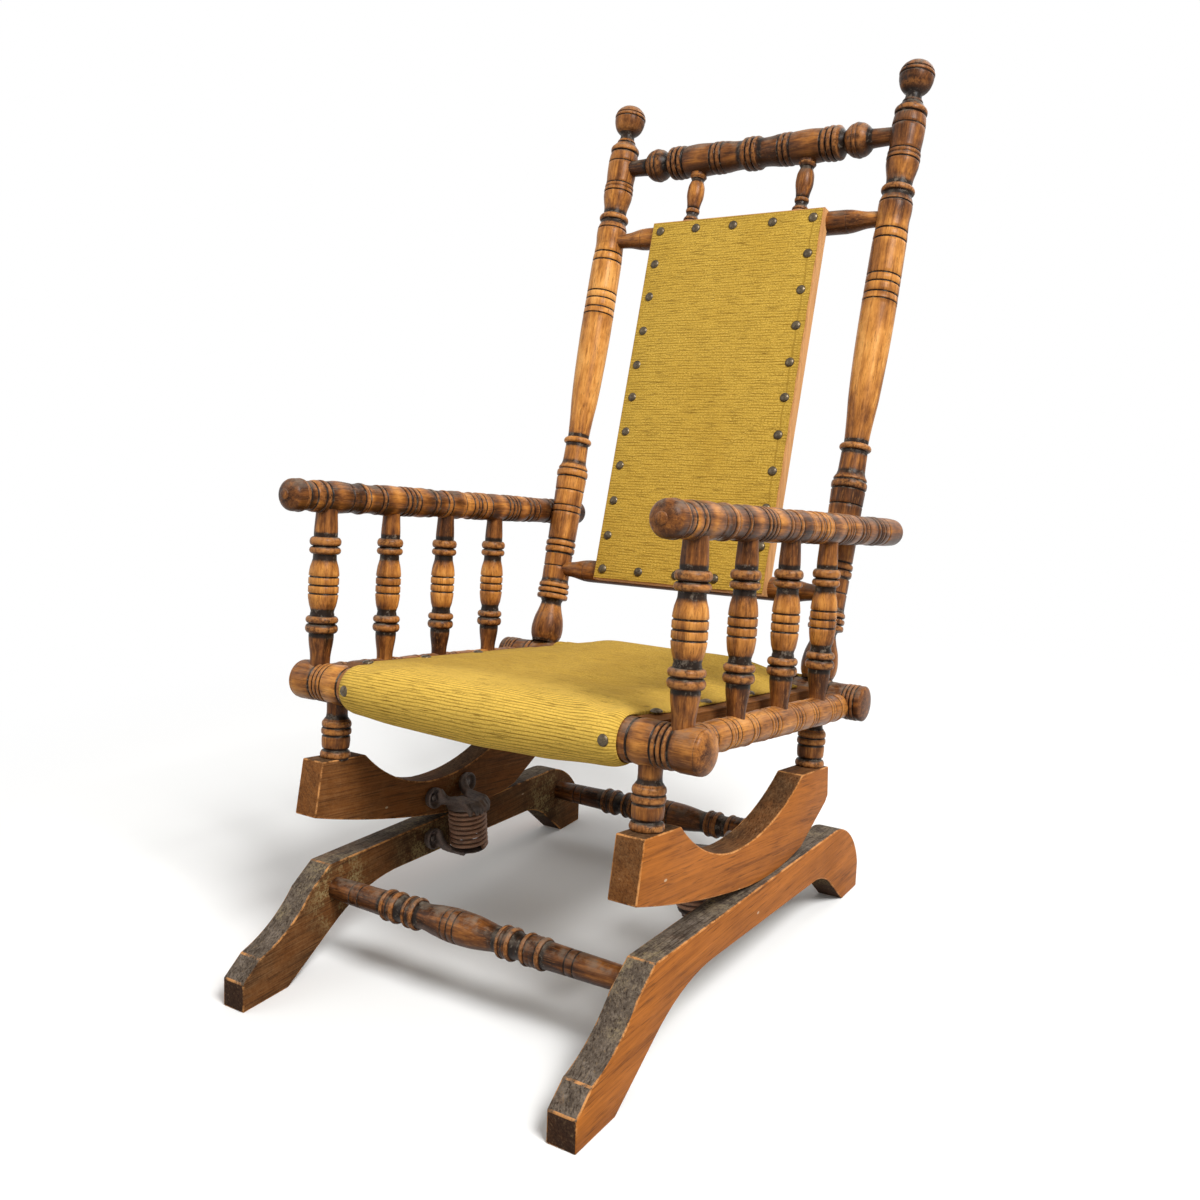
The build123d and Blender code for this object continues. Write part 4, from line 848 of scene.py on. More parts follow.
def side_outline():
    """The platform side, anticlockwise from the tip of its toe: (y, z)."""
    tip, toe_top, instep = (-408.7, 0), (-405.2, 31), (-380.7, 49)
    knee = (-304, deck_z(DECK_FRONT) - 20)
    deck = [(y, deck_z(y)) for y in (DECK_FRONT, -150, 0, DECK_BACK)]
    heel, heel_top, arch_rear, arch_fore = (208, 30), (123, 36.5), (85, 54.5), (-160, 70)
    shin = (-268, deck_z(DECK_FRONT) - 68)
    points = [tip, toe_top, instep]
    points += arc_points(instep, midway(instep, knee, 3, -6), knee, 10) + deck
    points += arc_points(deck[-1], midway(deck[-1], heel, 12, 10), heel, 12)
    points += [(204, 0), (160, 0), heel_top]
    hollow = ((heel_top[0] + arch_rear[0]) / 2 - 2, arch_rear[1] - 5)
    points += arc_points(heel_top, hollow, arch_rear, 6) + [arch_fore]
    points += arc_points(arch_fore, midway(arch_fore, shin, -6, 7), shin, 8)
    return points + [(-346.7, 0)]


def rocker_outline():
    """The rocker, from the front of its true arc: (v, w)."""
    def under(angle):
        turn = math.radians(angle)
        return (ARM_W * math.sin(turn), ARM_W * (1 - math.cos(turn)))
    toe_low, toe_high = (-240, 31.8), (-232.5, 93)
    pad_end, scoop, heel_pad = (-166.5, 93), (-55, 46), (106, 103)
    start = under(ARC_FROM)
    lead = (math.cos(math.radians(ARC_FROM)), math.sin(math.radians(ARC_FROM)))
    chord = (toe_low[0] - start[0], toe_low[1] - start[1])
    span = math.hypot(*chord)
    cosine = -(chord[0] * lead[0] + chord[1] * lead[1]) / span
    sag = span / 2 * math.tan(math.acos(max(-1, min(1, cosine))) / 2)
    belly = midway(start, toe_low, -sag * chord[1] / span, sag * chord[0] / span)
    points = [under(ARC_FROM + (ARC_TO - ARC_FROM) * k / 12) for k in range(13)]
    points += [(177, 60), (183, 68), (178, 103), heel_pad]
    points += arc_points(heel_pad, midway(scoop, heel_pad, 8, -13), scoop, 12)
    points += arc_points(scoop, midway(pad_end, scoop, -10, -7), pad_end, 12)
    return points + [toe_high, toe_low] + arc_points(toe_low, belly, start, 10)[:-1]


def board(name, body, place, outline, x_middle, stands_for, edge, grime):
    """A sawn board with rubbed edges, from its side outline."""
    mesh = bmesh.new()
    low, high = ([mesh.verts.new(place(x_middle + way * BOARD_THICK / 2, a, b)) for a, b in outline]
                 for way in (-1, 1))
    for k in range(len(outline)):
        n = (k + 1) % len(outline)
        mesh.faces.new((low[k], low[n], high[n], high[k]))
    mesh.faces.new(low[::-1])
    mesh.faces.new(high)
    bmesh.ops.recalc_face_normals(mesh, faces=mesh.faces)
    corners = [e for e in mesh.edges if e.calc_face_angle(0) > math.radians(17)]
    bevelled = bmesh.ops.bevel(mesh, geom=corners, offset=edge, segments=3, profile=0.5,
                               affect="EDGES", clamp_overlap=True)
    rubbed = set(bevelled["faces"])
    bmesh.ops.triangulate(mesh, faces=[f for f in mesh.faces if len(f.verts) > 4])
    mesh.faces.index_update()
    worn = [1.0 if f in rubbed else 0.0 for f in mesh.faces]
    mesh.verts.index_update()
    points = [v.co.copy() for v in mesh.verts]
    faces = [tuple(v.index for v in f.verts) for f in mesh.faces]
    mesh.free()
    obj = piece(name, points, faces, body, "dark_wood", BOARD, stands_for, 30)
    wear, dirt = [], []
    for polygon, value in zip(obj.data.polygons, worn):
        wear += [value] * polygon.loop_total
        dirt += [grime(polygon.normal)] * polygon.loop_total
    give(obj.data, "wear", wear, "CORNER")
    give(obj.data, "dirt", dirt, "CORNER")
    give(obj.data, "place", [tuple(v.co) for v in obj.data.vertices])
    give_local(obj.data, name_seed(name), (place(0, 1, 0) - place(0, 0, 0)).normalized())


def side_grime(side, top, front, inner):
    """Outer faces are clean and orange; the shares of grime on the other faces are given."""
    outer, elsewhere = 0.05, 0.55

    def share(normal):
        outward = normal.x * side
        if abs(outward) > 0.7:
            return outer if outward > 0 else inner
        if normal.y < -0.8:
            return front
        return top if normal.z > 0.4 or normal.y < -0.5 else elsewhere
    return share


def boards():
    for side, word in SIDES.items():
        board(f"platform_side_{word}", "base", platform, side_outline(), side * PLATFORM_X,
              [f"base_side_{word}"], 1.5, side_grime(side, 0.92, 0.94, 0.70))
        # the rockers' fronts are grimy, and the left front's larger share of grime is painted shade
        board(f"rocker_board_{word}", "chair", chair, rocker_outline(), side * ROCKER_X,
              [f"rocker_{word}"], 1.4, side_grime(side, 0.74, 0.62 if side > 0 else 0.48, 0.52))
        dress(f"back_stile_{word}", RAW, 0.12, UP)
        dress(f"inner_rail_{word}", BOARD, 0.55, BACK)
    for node in ("back_top_batten", "back_bottom_batten"):
        dress(node, RAW, 0.2, ACROSS)


def coat(obj, material):
    obj.data.materials.clear()
    obj.data.materials.append(material)


def dress(node, material, dirt, grain):
    """A finish on a CAD node that already has its right shape."""
    obj = frame["nodes"][node]
    coat(obj, material)
    give_local(obj.data, name_seed(node), grain)
    give(obj.data, "dirt", [dirt] * len(obj.data.vertices))
    give(obj.data, "wear", [0.0] * len(obj.data.vertices))
    bevel = obj.modifiers.new("eased edges", "BEVEL")
    bevel.width = 0.8 * MM
    bevel.segments = 2
    bevel.limit_method = "ANGLE"
    bevel.angle_limit = math.radians(50)


# ---------------------------------------------------------------- springs and castings
def tube(points, radius, around=12):
    """Points and faces of a round bar; radius is a number or one for each point."""
    last = len(points) - 1
    reach = radius if hasattr(radius, "__len__") else [radius] * len(points)
    side = (points[1] - points[0]).normalized().orthogonal().normalized()
    verts = []
    for j, point in enumerate(points):
        ahead = (points[min(j + 1, last)] - points[max(j - 1, 0)]).normalized()
        side = (side - ahead * side.dot(ahead)).normalized()
        other = ahead.cross(side)
        verts += [point + (side * c + other * s) * reach[j] for c, s in circle(around)]
    return verts, round_faces(len(points), around)


def gather(parts):
    """Several meshes' vertices and faces as one."""
    verts, faces = [], []
    for more_verts, more_faces in parts:
        start = len(verts)
        verts += more_verts
        faces += [tuple(start + k for k in face) for face in more_faces]
    return verts, faces


def spun(origin, axis, profile, around=28):
    """A closed round part from its (radius, height) profile."""
    up = axis.normalized()
    aside = up.orthogonal().normalized()
    third = up.cross(aside)
    verts = [origin + up * height + (aside * c + third * s) * max(radius, 0.02)
             for radius, height in profile for c, s in circle(around)]
    return verts, round_faces(len(profile), around)


COIL_X, COIL_Y, COIL_LOW, COIL_PITCH, COIL_TURNS = 163.0, -78.7, 76.0, 5.95, 8.0
COIL_R, WIRE_R = 21.4, 2.45
COIL_HIGH = COIL_LOW + COIL_PITCH * COIL_TURNS
EAR_SPREAD = 31.0


def springs():
    steps = 40
    for side, word in SIDES.items():
        path = []
        for k in range(round(COIL_TURNS * steps) + 1):
            turn = 2 * math.pi * k / steps
            path.append(platform(side * COIL_X + COIL_R * math.cos(turn),
                                 COIL_Y + COIL_R * math.sin(turn),
                                 COIL_LOW + COIL_PITCH * k / steps))
        coil = piece(f"coil_{word}", *tube(path, WIRE_R), "base", "spring_steel", COIL, ["springs"])
        give_local(coil.data, side + 5)


# each end of the springs: its body, how far from the middle the ears' faces are, the height
# of the bracket's seat and, from there, of the screws
ENDS = {"lower": ("base", 199.0, COIL_LOW - WIRE_R - 0.1, 14.0),
        "upper": ("chair", 193.0, COIL_HIGH + WIRE_R + 0.4, 15.4)}
# profiles as (radius, height), and the straps' radii from the ear to the end
PLATES = {"lower": [(6, 0.2), (21.6, 0.2), (22.0, 1.2), (20.0, 2.4), (6, 2.8)],
          "upper": [(8, 0.2), (24.8, 0.2), (25.8, 2.0), (23.5, 5.0), (17, 7.4), (9, 8.2)]}
EAR = [(11.0, 0.0), (12.4, 1.6), (12.9, 5.6), (13.2, 8.4), (12.0, 9.6), (10.4, 8.8), (9.3, 6.0),
       (8.4, 3.4), (0, 2.9)]
STRAPS = {"lower": [5.8, 5.2, 3.4, 2.4], "upper": [5.6, 5.2, 4.6, 4.2, 3.5, 2.0]}
CLASP_R = 25.5
SCREW_HEAD = [(4.9, -0.4), (5.0, 0.6), (4.5, 1.6), (3.2, 2.3), (0, 2.6)]


def strap_path(end, side, way, spread, lean, root, centre):
    """Where a strap runs: over the coil at the upper end, under it at the lower."""
    edge = -side * math.sqrt(CLASP_R ** 2 - lean ** 2)
    if end == "upper":
        shifts = [(side * (14 + 3 * spread), way * (18 + spread), 9.5),
                  (side * 2, way * (lean * 0.7 + 4), 9.2), (edge * 0.80, way * lean, 6.8),
                  (edge * 1.03, way * lean, 2.2), (edge * 1.06, way * lean, -5.0)]
    else:
        shifts = [(side * (25 + spread), way * (20 + 2 * spread), 4 + 4 * spread),
                  (side * (14 + 4 * spread), way * (17 + 2 * spread), -3.2 + spread),
                  (-side * (2 - 6 * spread), way * (15 - 4 * spread), -2.8)]
    return [root] + [centre + Vector(shift) for shift in shifts]


def casting(end, side, word):
    """A cast bracket: two dished ears, three straps from each and a plate against the coil."""
    body, face_x, seat_z, drop = ENDS[end]
    centre = platform(side * COIL_X, COIL_Y, seat_z)
    inward = Vector((-side, 0, 0))
    parts = [spun(centre, Vector((0, 0, 1 if end == "upper" else -1)), PLATES[end])]
    for way in (-1, 1):
        ear = platform(side * face_x, COIL_Y + way * EAR_SPREAD, seat_z + drop)
        parts.append(spun(ear, inward, EAR))
        for spread, lean in ((-1, 3.5), (0, 10.0), (1, 17.0)):
            root = ear + inward * 5.4 + Vector((0, -way * 8.5, spread * 5.5))
            path = strap_path(end, side, way, spread, lean, root, centre)
            parts.append(tube(path, STRAPS[end]))
    name = f"casting_{end}_{word}"
    rough = piece(name, *gather(parts), body, "bracket_iron", IRON, [f"{end}_bracket_{word}"])
    remesh = rough.modifiers.new("one casting", "REMESH")
    remesh.mode = "VOXEL"
    remesh.voxel_size = 1.15 * MM
    smooth = rough.modifiers.new("softened", "SMOOTH")
    smooth.iterations = 3
    apply_modifiers(rough)
    soften(rough.data, 60)
    for vertex in rough.data.vertices:
        vertex.co += vertex.normal * (noise.noise(vertex.co * 260) * 0.25 * MM)
    give_local(rough.data, name_seed(name))


def apply_modifiers(obj):
    """Leave the object with its modifiers' result as its own mesh."""
    bpy.context.view_layer.update()
    graph = bpy.context.evaluated_depsgraph_get()
    made = bpy.data.meshes.new_from_object(obj.evaluated_get(graph))
    old = obj.data
    obj.modifiers.clear()
    obj.data = made
    bpy.data.meshes.remove(old)


def screws():
    """Round heads in the ears."""
    for end, (body, face_x, seat_z, drop) in ENDS.items():
        parts = []
        for side in SIDES:
            for way in (-1, 1):
                seat = platform(side * (face_x - 4.4), COIL_Y + way * EAR_SPREAD, seat_z + drop)
                parts.append(spun(seat, Vector((-side, 0, 0)), SCREW_HEAD, 20))
        heads = piece(f"bracket_screws_{end}", *gather(parts), body, "screw_steel", STEEL,
                      [f"{end}_bracket_screws"])
        give_local(heads.data, 3)


# ---------------------------------------------------------------- upholstery
def grid_shell(outer, inner):
    """A closed skin from two grids of points that meet along all four edges."""
    rows, columns = len(outer), len(outer[0])
    verts = [p for row in outer for p in row] + [p for row in inner for p in row]
    lift = rows * columns
    faces = []
    for j in range(rows - 1):
        for a in range(j * columns, (j + 1) * columns - 1):
            b, c, d = a + 1, a + columns + 1, a + columns
            faces += [(a, b, c, d), (lift + a, lift + d, lift + c, lift + b)]
    rim = list(range(columns))
    rim += [j * columns + columns - 1 for j in range(1, rows)]
    rim += [(rows - 1) * columns + k for k in range(columns - 2, -1, -1)]
    rim += [j * columns for j in range(rows - 2, 0, -1)]
    for a, b in zip(rim, rim[1:] + rim[:1]):
        faces.append((a, lift + a, lift + b, b))
    return verts, faces


def skin(columns, rows, point):
    """A closed skin and its cloth coordinates, from point(t, u) for t from -1 to 1, u from 0 to 1.

    point gives the outer point, the inner one and the place on the flat cloth.
    """
    outer, inner, cloth = [], [], []
    for j in range(rows):
        made = [point(2 * k / (columns - 1) - 1, j / (rows - 1)) for k in range(columns)]
        outer.append([p[0] for p in made])
        inner.append([p[1] for p in made])
        cloth += [(p[2][0] * MM, p[2][1] * MM, 0.0) for p in made]
    return grid_shell(outer, inner), cloth + cloth


def cells(columns, rows):
    """(row, column, columns to the nearer side) of each point of a skin."""
    return [(j, k, min(k, columns - 1 - k)) for j in range(rows) for k in range(columns)]


FRONT_V, FRONT_W, FRONT_R = -201.0, 175.0, 22.8
FRONT_CLEAR = -176           # the front rail's round ends ahead of this
SEAT_HALF, SEAT_FLANGE, SEAT_TAIL = 182.0, 198.0, 176.5
SEAT_FLOOR = 181.8           # the stuffing's underside
FLANGE_TOP, FLANGE_LOW = 199.9, 197.5
REAR_R = 21.8
REAR_FROM, TAIL_FROM = 140, 190
RAIL_GAP = 0.2
ROLL_STEPS, ROLL_FROM = 14, -118.0
SEAT_COLUMNS = 64


def over_rail(v, rail_v, rail_w, radius):
    """Just above a rail's round, or the stuffing's underside where that is higher."""
    round_w = rail_w + math.sqrt(max(0.0, radius ** 2 - (v - rail_v) ** 2))
    return max(SEAT_FLOOR, round_w + RAIL_GAP)


def seat_rows():
    """(outer, inner, v) along the cover, from under the front rail to behind the rear one.

    The points are (v, w), and v is None on the roll round the front rail.
    """
    axis = Vector((FRONT_V, FRONT_W))
    rows = []
    for k in range(ROLL_STEPS + 1):
        turn = math.radians(ROLL_FROM + (90 - ROLL_FROM) * k / ROLL_STEPS)
        way = Vector((-math.cos(turn), math.sin(turn)))
        fat = 4.4 + 1.2 * math.sin(math.pi * k / ROLL_STEPS)
        rows.append((axis + way * (FRONT_R + fat), axis + way * (FRONT_R + RAIL_GAP), None))
    top = FRONT_W + FRONT_R + 5
    levels = [(-201, top), (-150, top - 2.0), (-110, top - 2.5), (-40, top - 0.5), (40, top + 4),
              (100, 212), (150, 217.5), (176, 217.8), (188, 213.5), (195, 204), (197.6, 192)]
    places = [FRONT_V + 6.5 * k for k in range(1, 58)] + [176.5, 183, 188.5, 193, 196, 197.6]
    for v in places:
        w, floor = eased_at(levels, v), SEAT_FLOOR
        if v < FRONT_CLEAR:
            floor = over_rail(v, FRONT_V, FRONT_W, FRONT_R)
        elif v >= REAR_FROM:
            floor = over_rail(v, REAR_V, REAR_W, REAR_R)
        inner = Vector((v, floor)) if v < TAIL_FROM else Vector((v - 2.0, w))
        rows.append((Vector((v, w)), inner, v))
    return rows


def seat_half_width(v):
    return eased_at([(-230, SEAT_HALF), (-178, SEAT_HALF), (-160, SEAT_FLANGE), (136, SEAT_FLANGE),
                     (147, SEAT_TAIL), (200, SEAT_TAIL)], v)


def edge_share(t):
    """0 over most of the width, rising to 1 at the side edges."""
    return max(0.0, abs(t) - 0.93) / 0.07


def roll_section(t, outer, inner):
    """The cloth round the front rail, which hangs a little between its tacked ends."""
    hang = 8.0 * max(0.0, (FRONT_W - outer.y) / 28.0) * (1 - t * t)
    out = outer.lerp(inner, 0.75 * edge_share(t) ** 2) - Vector((0, hang))
    x = SEAT_HALF * t
    return (x, out.x, out.y), (x, inner.x, inner.y)


def top_section(t, outer, inner, v):
    """The cloth over the stuffing, which falls to its flat tacked edges."""
    x = seat_half_width(v) * t
    inside = abs(x) < SEAT_HALF
    fall = 1 - eased_at([(-1, 0), (92, 0), (186, 1), (250, 1)], abs(x))
    near_front = max(0.0, 1 - (v - FRONT_V) / 26)
    fall = max(fall, near_front * (1 - edge_share(t)))
    w = FLANGE_TOP + (outer.y - FLANGE_TOP) * fall
    low = inner.y if inside else FLANGE_LOW
    if v > REAR_FROM:
        w = outer.y if v > TAIL_FROM else max(w, inner.y + 2.4)
        low = inner.y
    if v < FRONT_CLEAR and not inside:
        low = max(low, inner.y)
    under = min(low, w - 1.2) if v < TAIL_FROM else inner.y
    return (x, outer.x, max(w, low + 1.2)), (x, inner.x, under)


def seat_cover():
    """The stuffed seat: cloth drawn over it, puffed a little by simulation, then its folds."""
    rows = seat_rows()
    lengths = [0.0]
    for (before, _, _), (outer, _, _) in zip(rows, rows[1:]):
        lengths.append(lengths[-1] + (outer - before).length)
    outer_grid, inner_grid = [], []
    for outer, inner, v in rows:
        pairs = []
        for k in range(SEAT_COLUMNS):
            t = 2 * k / (SEAT_COLUMNS - 1) - 1
            t = math.copysign(1 - (1 - abs(t)) ** 1.15, t)
            pairs.append(roll_section(t, outer, inner) if v is None
                         else top_section(t, outer, inner, v))
        outer_grid.append([pair[0] for pair in pairs])
        inner_grid.append([pair[1] for pair in pairs])
    verts, faces = grid_shell(outer_grid, inner_grid)
    seat = piece("seat_cloth", [chair(*p) for p in verts], faces, "chair", "upholstery", CLOTH,
                 ["seat_cover"], 60)
    places = cells(SEAT_COLUMNS, len(rows))
    hold = [1.0 if edge < 3 or j < 2 or j > len(rows) - 4 else 0.0 for j, _, edge in places]
    puff(seat, hold + [1.0] * len(places), 5.5)
    spots = [(x, run) for row, run in zip(outer_grid, lengths) for x, _, _ in row]
    fold_cloth(seat, spots, places, len(rows))
    # wear: rubbing along the side edges, and noise patches that are painted shade
    wear = [min(1.0, max(0.0, 1 - edge / 3) * 0.35
                + 0.3 * max(0.0, noise.noise(Vector((j * 0.06, k * 0.07, 2.0)))))
            for j, k, edge in places]
    # strength of the rib lines and share of painted light: full over the front roll, fading out
    # behind it
    rib_strength_and_painted_light = [0.42 + 0.58 * min(1.0, max(0.0, (185 - run) / 70)) for _, run in spots]
    for name, values in (("cloth", [(x * MM, run * MM, 0.0) for x, run in spots]), ("rib_strength_and_painted_light", rib_strength_and_painted_light),
                         ("seam", [1.0] * len(spots)), ("wear", wear)):
        give(seat.data, name, values + values)
    finer = seat.modifiers.new("finer", "SUBSURF")
    finer.levels = finer.render_levels = 1


PUFF_FRAMES = 20


def puff(obj, hold, cap):
    """Swell a held cloth skin with a little pressure, moving no point further than the cap."""
    group = obj.vertex_groups.new(name="hold")
    for index, weight in enumerate(hold):
        if weight:
            group.add([index], weight, "REPLACE")
    rest = [v.co.copy() for v in obj.data.vertices]
    cloth = obj.modifiers.new("stuffing", "CLOTH")
    settings = cloth.settings
    settings.vertex_group_mass = "hold"
    settings.use_pressure = True
    settings.uniform_pressure_force = 3.0
    settings.tension_stiffness = 12
    settings.compression_stiffness = 8
    settings.bending_stiffness = 0.4
    settings.effector_weights.gravity = 0
    cloth.point_cache.frame_start = 1
    cloth.point_cache.frame_end = PUFF_FRAMES
    for step in range(1, PUFF_FRAMES + 1):
        bpy.context.scene.frame_set(step)
    apply_modifiers(obj)
    for vertex, start in zip(obj.data.vertices, rest):
        moved = vertex.co - start
        if moved.length > cap * MM:
            vertex.co = start + moved.normalized() * cap * MM
    bpy.context.scene.frame_set(1)
    soften(obj.data, 60)


# soft creases of the seat: (x, run) at both ends in millimetres, width, height
CREASES = ((168, 60, 96, 128, 7, 2.0), (160, 96, 74, 170, 9, -1.8), (172, 110, 112, 200, 8, 1.8),
           (150, 74, 52, 92, 7, -1.5), (158, 84, 64, 120, 5, 1.3), (120, 150, 20, 205, 13, 1.7),
           (-166, 60, -100, 118, 8, 1.4), (-160, 92, -84, 150, 9, -1.3),
           (90, 215, -40, 240, 15, -1.5), (176, 210, 110, 262, 8, 1.4),
           (176, 306, 118, 330, 8, 1.2), (-176, 210, -120, 250, 8, 1.2),
           (-176, 306, -120, 340, 8, 1.2), (30, 128, -90, 150, 13, 1.2), (60, 60, -70, 66, 8, 0.9))


def bell(distance, width):
    return math.exp(-(distance / width) ** 2)


def fold_cloth(obj, spots, places, rows):
    """Soft pulls in from the tacks and a few lazy folds; spots are (x, run) of the skin."""
    mesh = obj.data
    mesh.update()
    normals = [v.normal.copy() for v in mesh.vertices]
    for index, ((x, run), (j, _, edge)) in enumerate(zip(spots, places)):
        if edge < 3 or j < 2 or j > rows - 7:
            continue
        rise = 1.3 * noise.noise(Vector((x * 0.017, run * 0.014, 4.2)))
        rise += 0.9 * math.sin(2 * math.pi * (run - 128) / 97.0) * bell(abs(x) - 150, 26.0)
        for ax, ar, bx, br, width, height in CREASES:
            length = math.hypot(bx - ax, br - ar)
            t = ((x - ax) * (bx - ax) + (run - ar) * (br - ar)) / length ** 2
            aside = ((x - ax) * (br - ar) - (run - ar) * (bx - ax)) / length
            ends = max(0.0, -t, t - 1) * length
            fading = 1 - 0.4 * min(1, max(0, t))
            rise += height * bell(aside, width) * bell(ends, 16.0) * fading
        mesh.vertices[index].co += normals[index] * rise * min(1.0, (edge - 2) / 4) * MM
    mesh.update()


def back_cloth():
    """The back's cloth: stretched flat, dimpled at each tack, its edge drawn in between them."""
    columns, rows = 72, 136
    half, thick, margin = PANEL_HALF - 1.5, 1.8, 1.5
    height = PANEL_HIGH - PANEL_LOW - 2 * margin
    spots = back_tack_spots()

    def point(t, u):
        x, at = half * t, PANEL_LOW + margin + height * u
        near = min(math.hypot(x - a, at - b) for a, b in spots)
        side_gap = min(half - abs(x), at - PANEL_LOW, PANEL_HIGH - at)
        scallop = 0.9 * math.exp(-side_gap / 7.0) * (1 - bell(near, 17.0))
        crown = 2.0 * (1 - t ** 4) * (1 - (2 * u - 1) ** 4)
        ripple = 0.5 * noise.noise(Vector((x * 0.03, at * 0.02, 1.7)))
        ripple += 0.4 * math.exp(-side_gap / 18.0) * math.sin(near * 0.35)
        out = (PANEL_FACE + thick + 0.3 + crown - 1.1 * bell(near, 9.0)
               + ripple * min(1.0, side_gap / 12))
        x_in = x * (1 - scallop / half) if abs(t) > 0.5 else x
        at_in = at + scallop * 0.8 * ((u < 0.06) - (u > 0.94))
        return (panel_point(x_in, at_in, out),
                panel_point(x_in, at_in, max(PANEL_FACE + 0.02, out - thick)), (x, at))

    shell, cloth = skin(columns, rows, point)
    cover = piece("back_cloth", *shell, "chair", "upholstery", CLOTH, ["back_cover"], 60)
    wear = [0.35 * math.exp(-min(edge, j, rows - 1 - j) / 2.0)
            for j, _, edge in cells(columns, rows)]
    for name, values in (("cloth", cloth), ("rib_strength_and_painted_light", [0.4] * len(cloth)),
                         ("seam", [x - SEAM_X * MM for x, _, _ in cloth]), ("wear", wear + wear)):
        give(cover.data, name, values)


def back_tack_spots():
    edge = PANEL_HALF - TACK_INSET
    low, high = PANEL_LOW + TACK_INSET, PANEL_HIGH - TACK_INSET
    jitter = random.Random(11)
    spots = []
    for k in range(5):
        x = edge * (2 * k / 4 - 1)
        spots += [(x, low), (x, high)]
    for k in range(1, 10):
        at = low + (high - low) * k / 10
        spots += [(-edge, at), (edge, at)]
    return [(x + jitter.uniform(-0.8, 0.8), at + jitter.uniform(-1.2, 1.2)) for x, at in spots]


TACK = [(5.2, 0.0), (6.25, 0.1), (6.3, 0.5), (5.9, 1.2), (5.0, 2.1), (3.6, 2.9), (1.9, 3.4),
        (0.0, 3.6)]


def tack_head(seat, out, seed):
    """A domed nail head, hand driven and so a little tipped."""
    jitter = random.Random(seed)
    lean = Vector([jitter.uniform(-1, 1) for _ in range(3)]) * 0.06
    return spun(seat, (out + lean).normalized(), TACK, 22)


def tacks():
    out = (panel_point(0, 0, 1) - panel_point(0, 0, 0)).normalized()
    heads = [tack_head(panel_point(x, at, PANEL_FACE + 1.5), out, k)
             for k, (x, at) in enumerate(back_tack_spots())]
    back = piece("back_nails", *gather(heads), "chair", "tack_bronze", BRONZE, ["back_tacks"], 50)
    give_local(back.data, 7)
    heads = []
    nose_v, front_x, flange_x = FRONT_V - 27.02, 169.5, 191.8
    for side in SIDES:
        heads.append(tack_head(chair(side * front_x, nose_v, FRONT_W), -BACK, 40 + side))
        for k in range(3):
            seat = chair(side * flange_x, -172 + 97 * k, FLANGE_TOP - 0.5)
            heads.append(tack_head(seat, UP, 50 + k))
    seat = piece("seat_nails", *gather(heads), "chair", "tack_bronze", BRONZE, ["seat_tacks"], 50)
    give_local(seat.data, 9)


LINING_INSET = 31.0
LINING_OUT, LINING_THICK = 18.4, 0.8
STRAP_HALF, STRAP_THICK = 23.0, 1.8
STRAP_FROM, STRAP_LENGTH = -181.0, 333.0
STRAPS_SPREAD = 148.0


def strap(middle):
    def point(t, u):
        x, v = middle + STRAP_HALF * t, STRAP_FROM + STRAP_LENGTH * u
        top = SEAT_FLOOR - 0.3 - 1.6 * math.sin(math.pi * u)
        return chair(x, v, top), chair(x, v, top - STRAP_THICK), (x + STRAP_HALF, v)

    return skin(9, 60, point)


def linings():
    """Coarse cloth behind the back, and the straps under the seat."""
    inside = PANEL_HALF - LINING_INSET
    low, high = PANEL_LOW + LINING_INSET, PANEL_HIGH - LINING_INSET

    def lining_point(t, u):
        x, at = inside * t, low + (high - low) * u
        slack = 1.2 * (1 - t * t) * (1 - (2 * u - 1) ** 2)
        out = LINING_OUT - slack - 0.3 * noise.noise(Vector((x * 0.05, at * 0.04, 0)))
        return panel_point(x, at, out), panel_point(x, at, out - LINING_THICK), (x, at)

    shell, cloth = skin(40, 84, lining_point)
    lining = piece("back_hessian", *shell, "chair", "hessian", HESSIAN, ["back_lining"], 60)
    give(lining.data, "cloth", cloth)
    made = [strap(STRAPS_SPREAD * share) for share in (-1, -1 / 3, 1 / 3, 1)]
    straps = piece("seat_straps", *gather([shell for shell, _ in made]), "chair", "hessian",
                   HESSIAN, ["seat_webbing"], 60)
    give(straps.data, "cloth", [place for _, cloth in made for place in cloth])


# ---------------------------------------------------------------- studio
def floor_paint():
    """A pale floor that keeps the chair's shadow and turns to white further off."""
    s = Shader("pale floor", 0.95, Specular_IOR_Level=0.0)
    place = s.node("TexCoord").outputs["Object"]
    pale = s.ramp(s.noise(place, 1.5, 3.0), (0.3, (0.90, 0.90, 0.89)), (0.7, (0.93, 0.93, 0.92)))
    s.finish(s.mix(s.shown(), (0.42, 0.42, 0.41), pale))
    far = s.times(s.math("SUBTRACT", 1.0, s.near(place, (0.0, 0.0, 0.0), 0.55, 1.5)),
                  s.node("LightPath").outputs["Is Camera Ray"])
    s.blend(far, s.surface, s.node("Emission"), "Material Output")
    return s.material


# lamps: place in metres, size, power
LAMPS = {"key": ((2.6, -1.0, 3.4), 1.4, 180), "fill": ((-2.8, -2.4, 2.0), 2.6, 26),
         "rim": ((0.6, 2.8, 2.6), 2.2, 30)}
LAMPS_AIM = Vector((0, 0, 0.45))
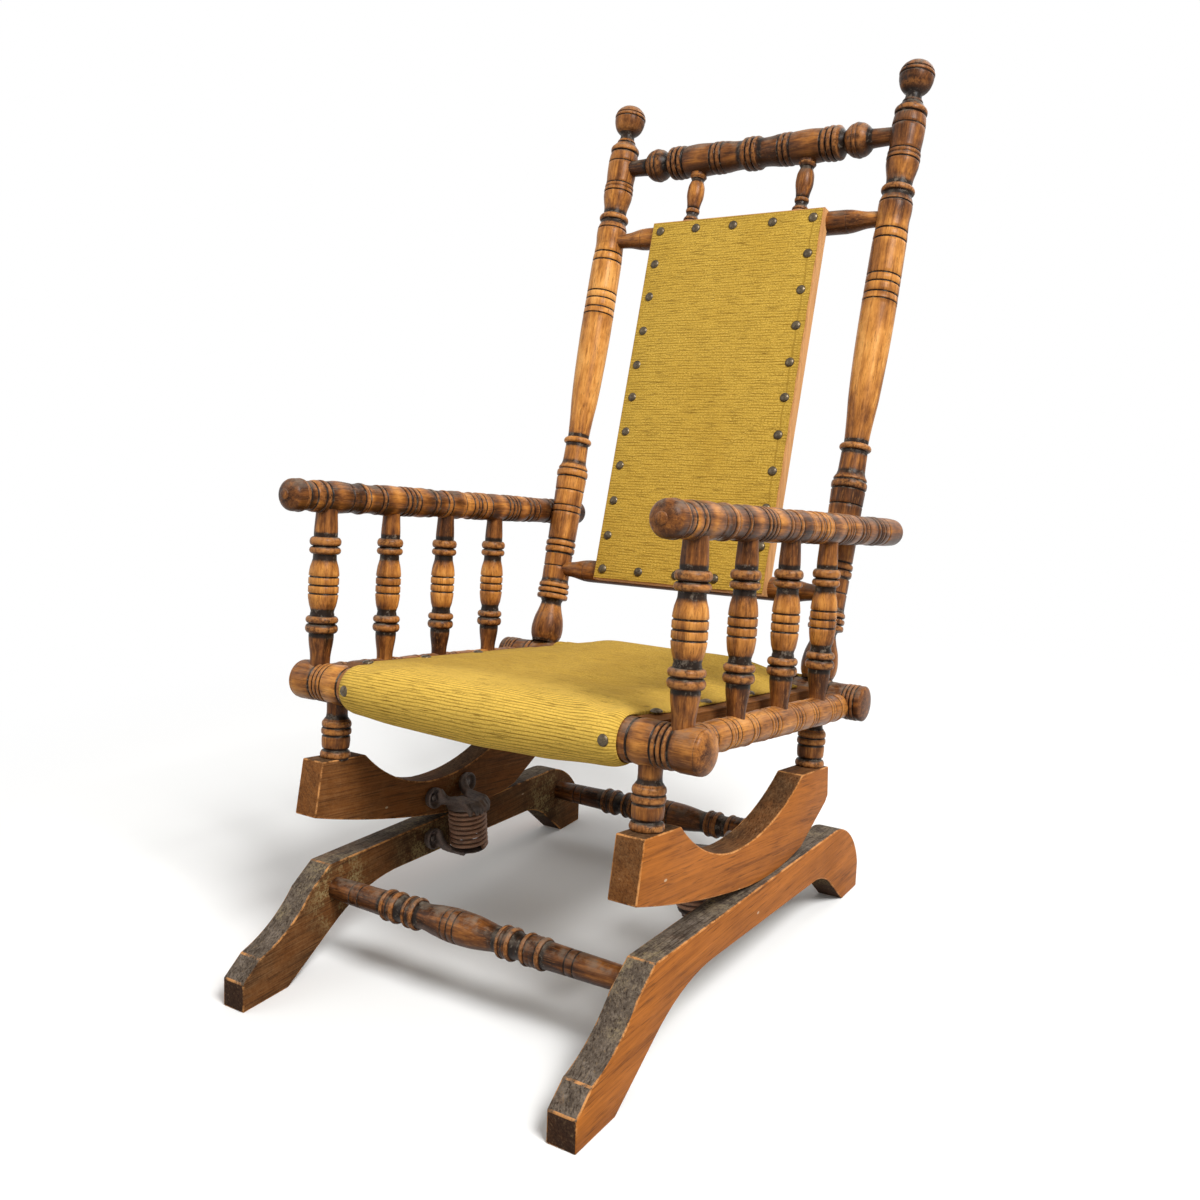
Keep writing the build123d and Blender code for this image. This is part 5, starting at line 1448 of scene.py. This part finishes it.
# the camera that was fitted to the photograph: its axes, its place in millimetres and its lens
CAMERA_RIGHT = Vector((0.826031, 0.562818, -0.030148))
CAMERA_DOWN = Vector((0.092213, -0.187720, -0.977884))
CAMERA_AHEAD = Vector((-0.556031, 0.804982, -0.206962))
CAMERA_PLACE = Vector((777.1, -1147.1, 677.8))
SENSOR, LENS = 36.0, 36.10
FLOOR_HALF = 14.0


def studio():
    """The floor, a soft main light from the chair's left, gentle fill and the photograph's view."""
    scene = bpy.context.scene
    mesh = bpy.data.meshes.new("floor")
    mesh.from_pydata([(a * FLOOR_HALF, b * FLOOR_HALF, 0)
                      for a, b in ((-1, -1), (1, -1), (1, 1), (-1, 1))], [], [(0, 1, 2, 3)])
    floor = placed("floor", mesh)
    mesh.materials.append(floor_paint())
    scene.world = bpy.data.worlds.new("studio")
    scene.world.use_nodes = True
    world = Nodes(scene.world.node_tree)
    sky = world.tree.nodes["Background"]
    world.put(sky.inputs["Color"], (1.0, 0.99, 0.97))
    world.put(sky.inputs["Strength"], 0.46)
    seen = world.node("Background", {"Color": (1.0, 1.0, 1.0)})
    world.blend(world.shown(), sky, seen, "World Output")
    for name, (place, size, watts) in LAMPS.items():
        lamp = bpy.data.lights.new(name, "AREA")
        lamp.size = size
        lamp.energy = watts
        light = placed(name, lamp)
        light.location = place
        light.rotation_euler = (LAMPS_AIM - Vector(place)).to_track_quat("-Z", "Y").to_euler()
    lens = bpy.data.cameras.new("camera")
    lens.sensor_width = SENSOR
    lens.lens = LENS
    camera = placed("camera", lens)
    turn = Matrix((CAMERA_RIGHT, -CAMERA_DOWN, -CAMERA_AHEAD)).transposed().to_4x4()
    camera.matrix_world = Matrix.Translation(CAMERA_PLACE * MM) @ turn
    scene.camera = camera
    scene.view_settings.view_transform = "Standard"


def build():
    studio()
    back_posts()
    arm_rails()
    arm_spindles()
    seat_rails()
    short_legs()
    back_rails()
    stretchers()
    boards()
    springs()
    for side, word in SIDES.items():
        for end in ENDS:
            casting(end, side, word)
    screws()
    seat_cover()
    back_cloth()
    tacks()
    linings()
    pins = frame["nodes"]["rocking_pins"]
    coat(pins, STEEL)
    give_local(pins.data, 4)


build()
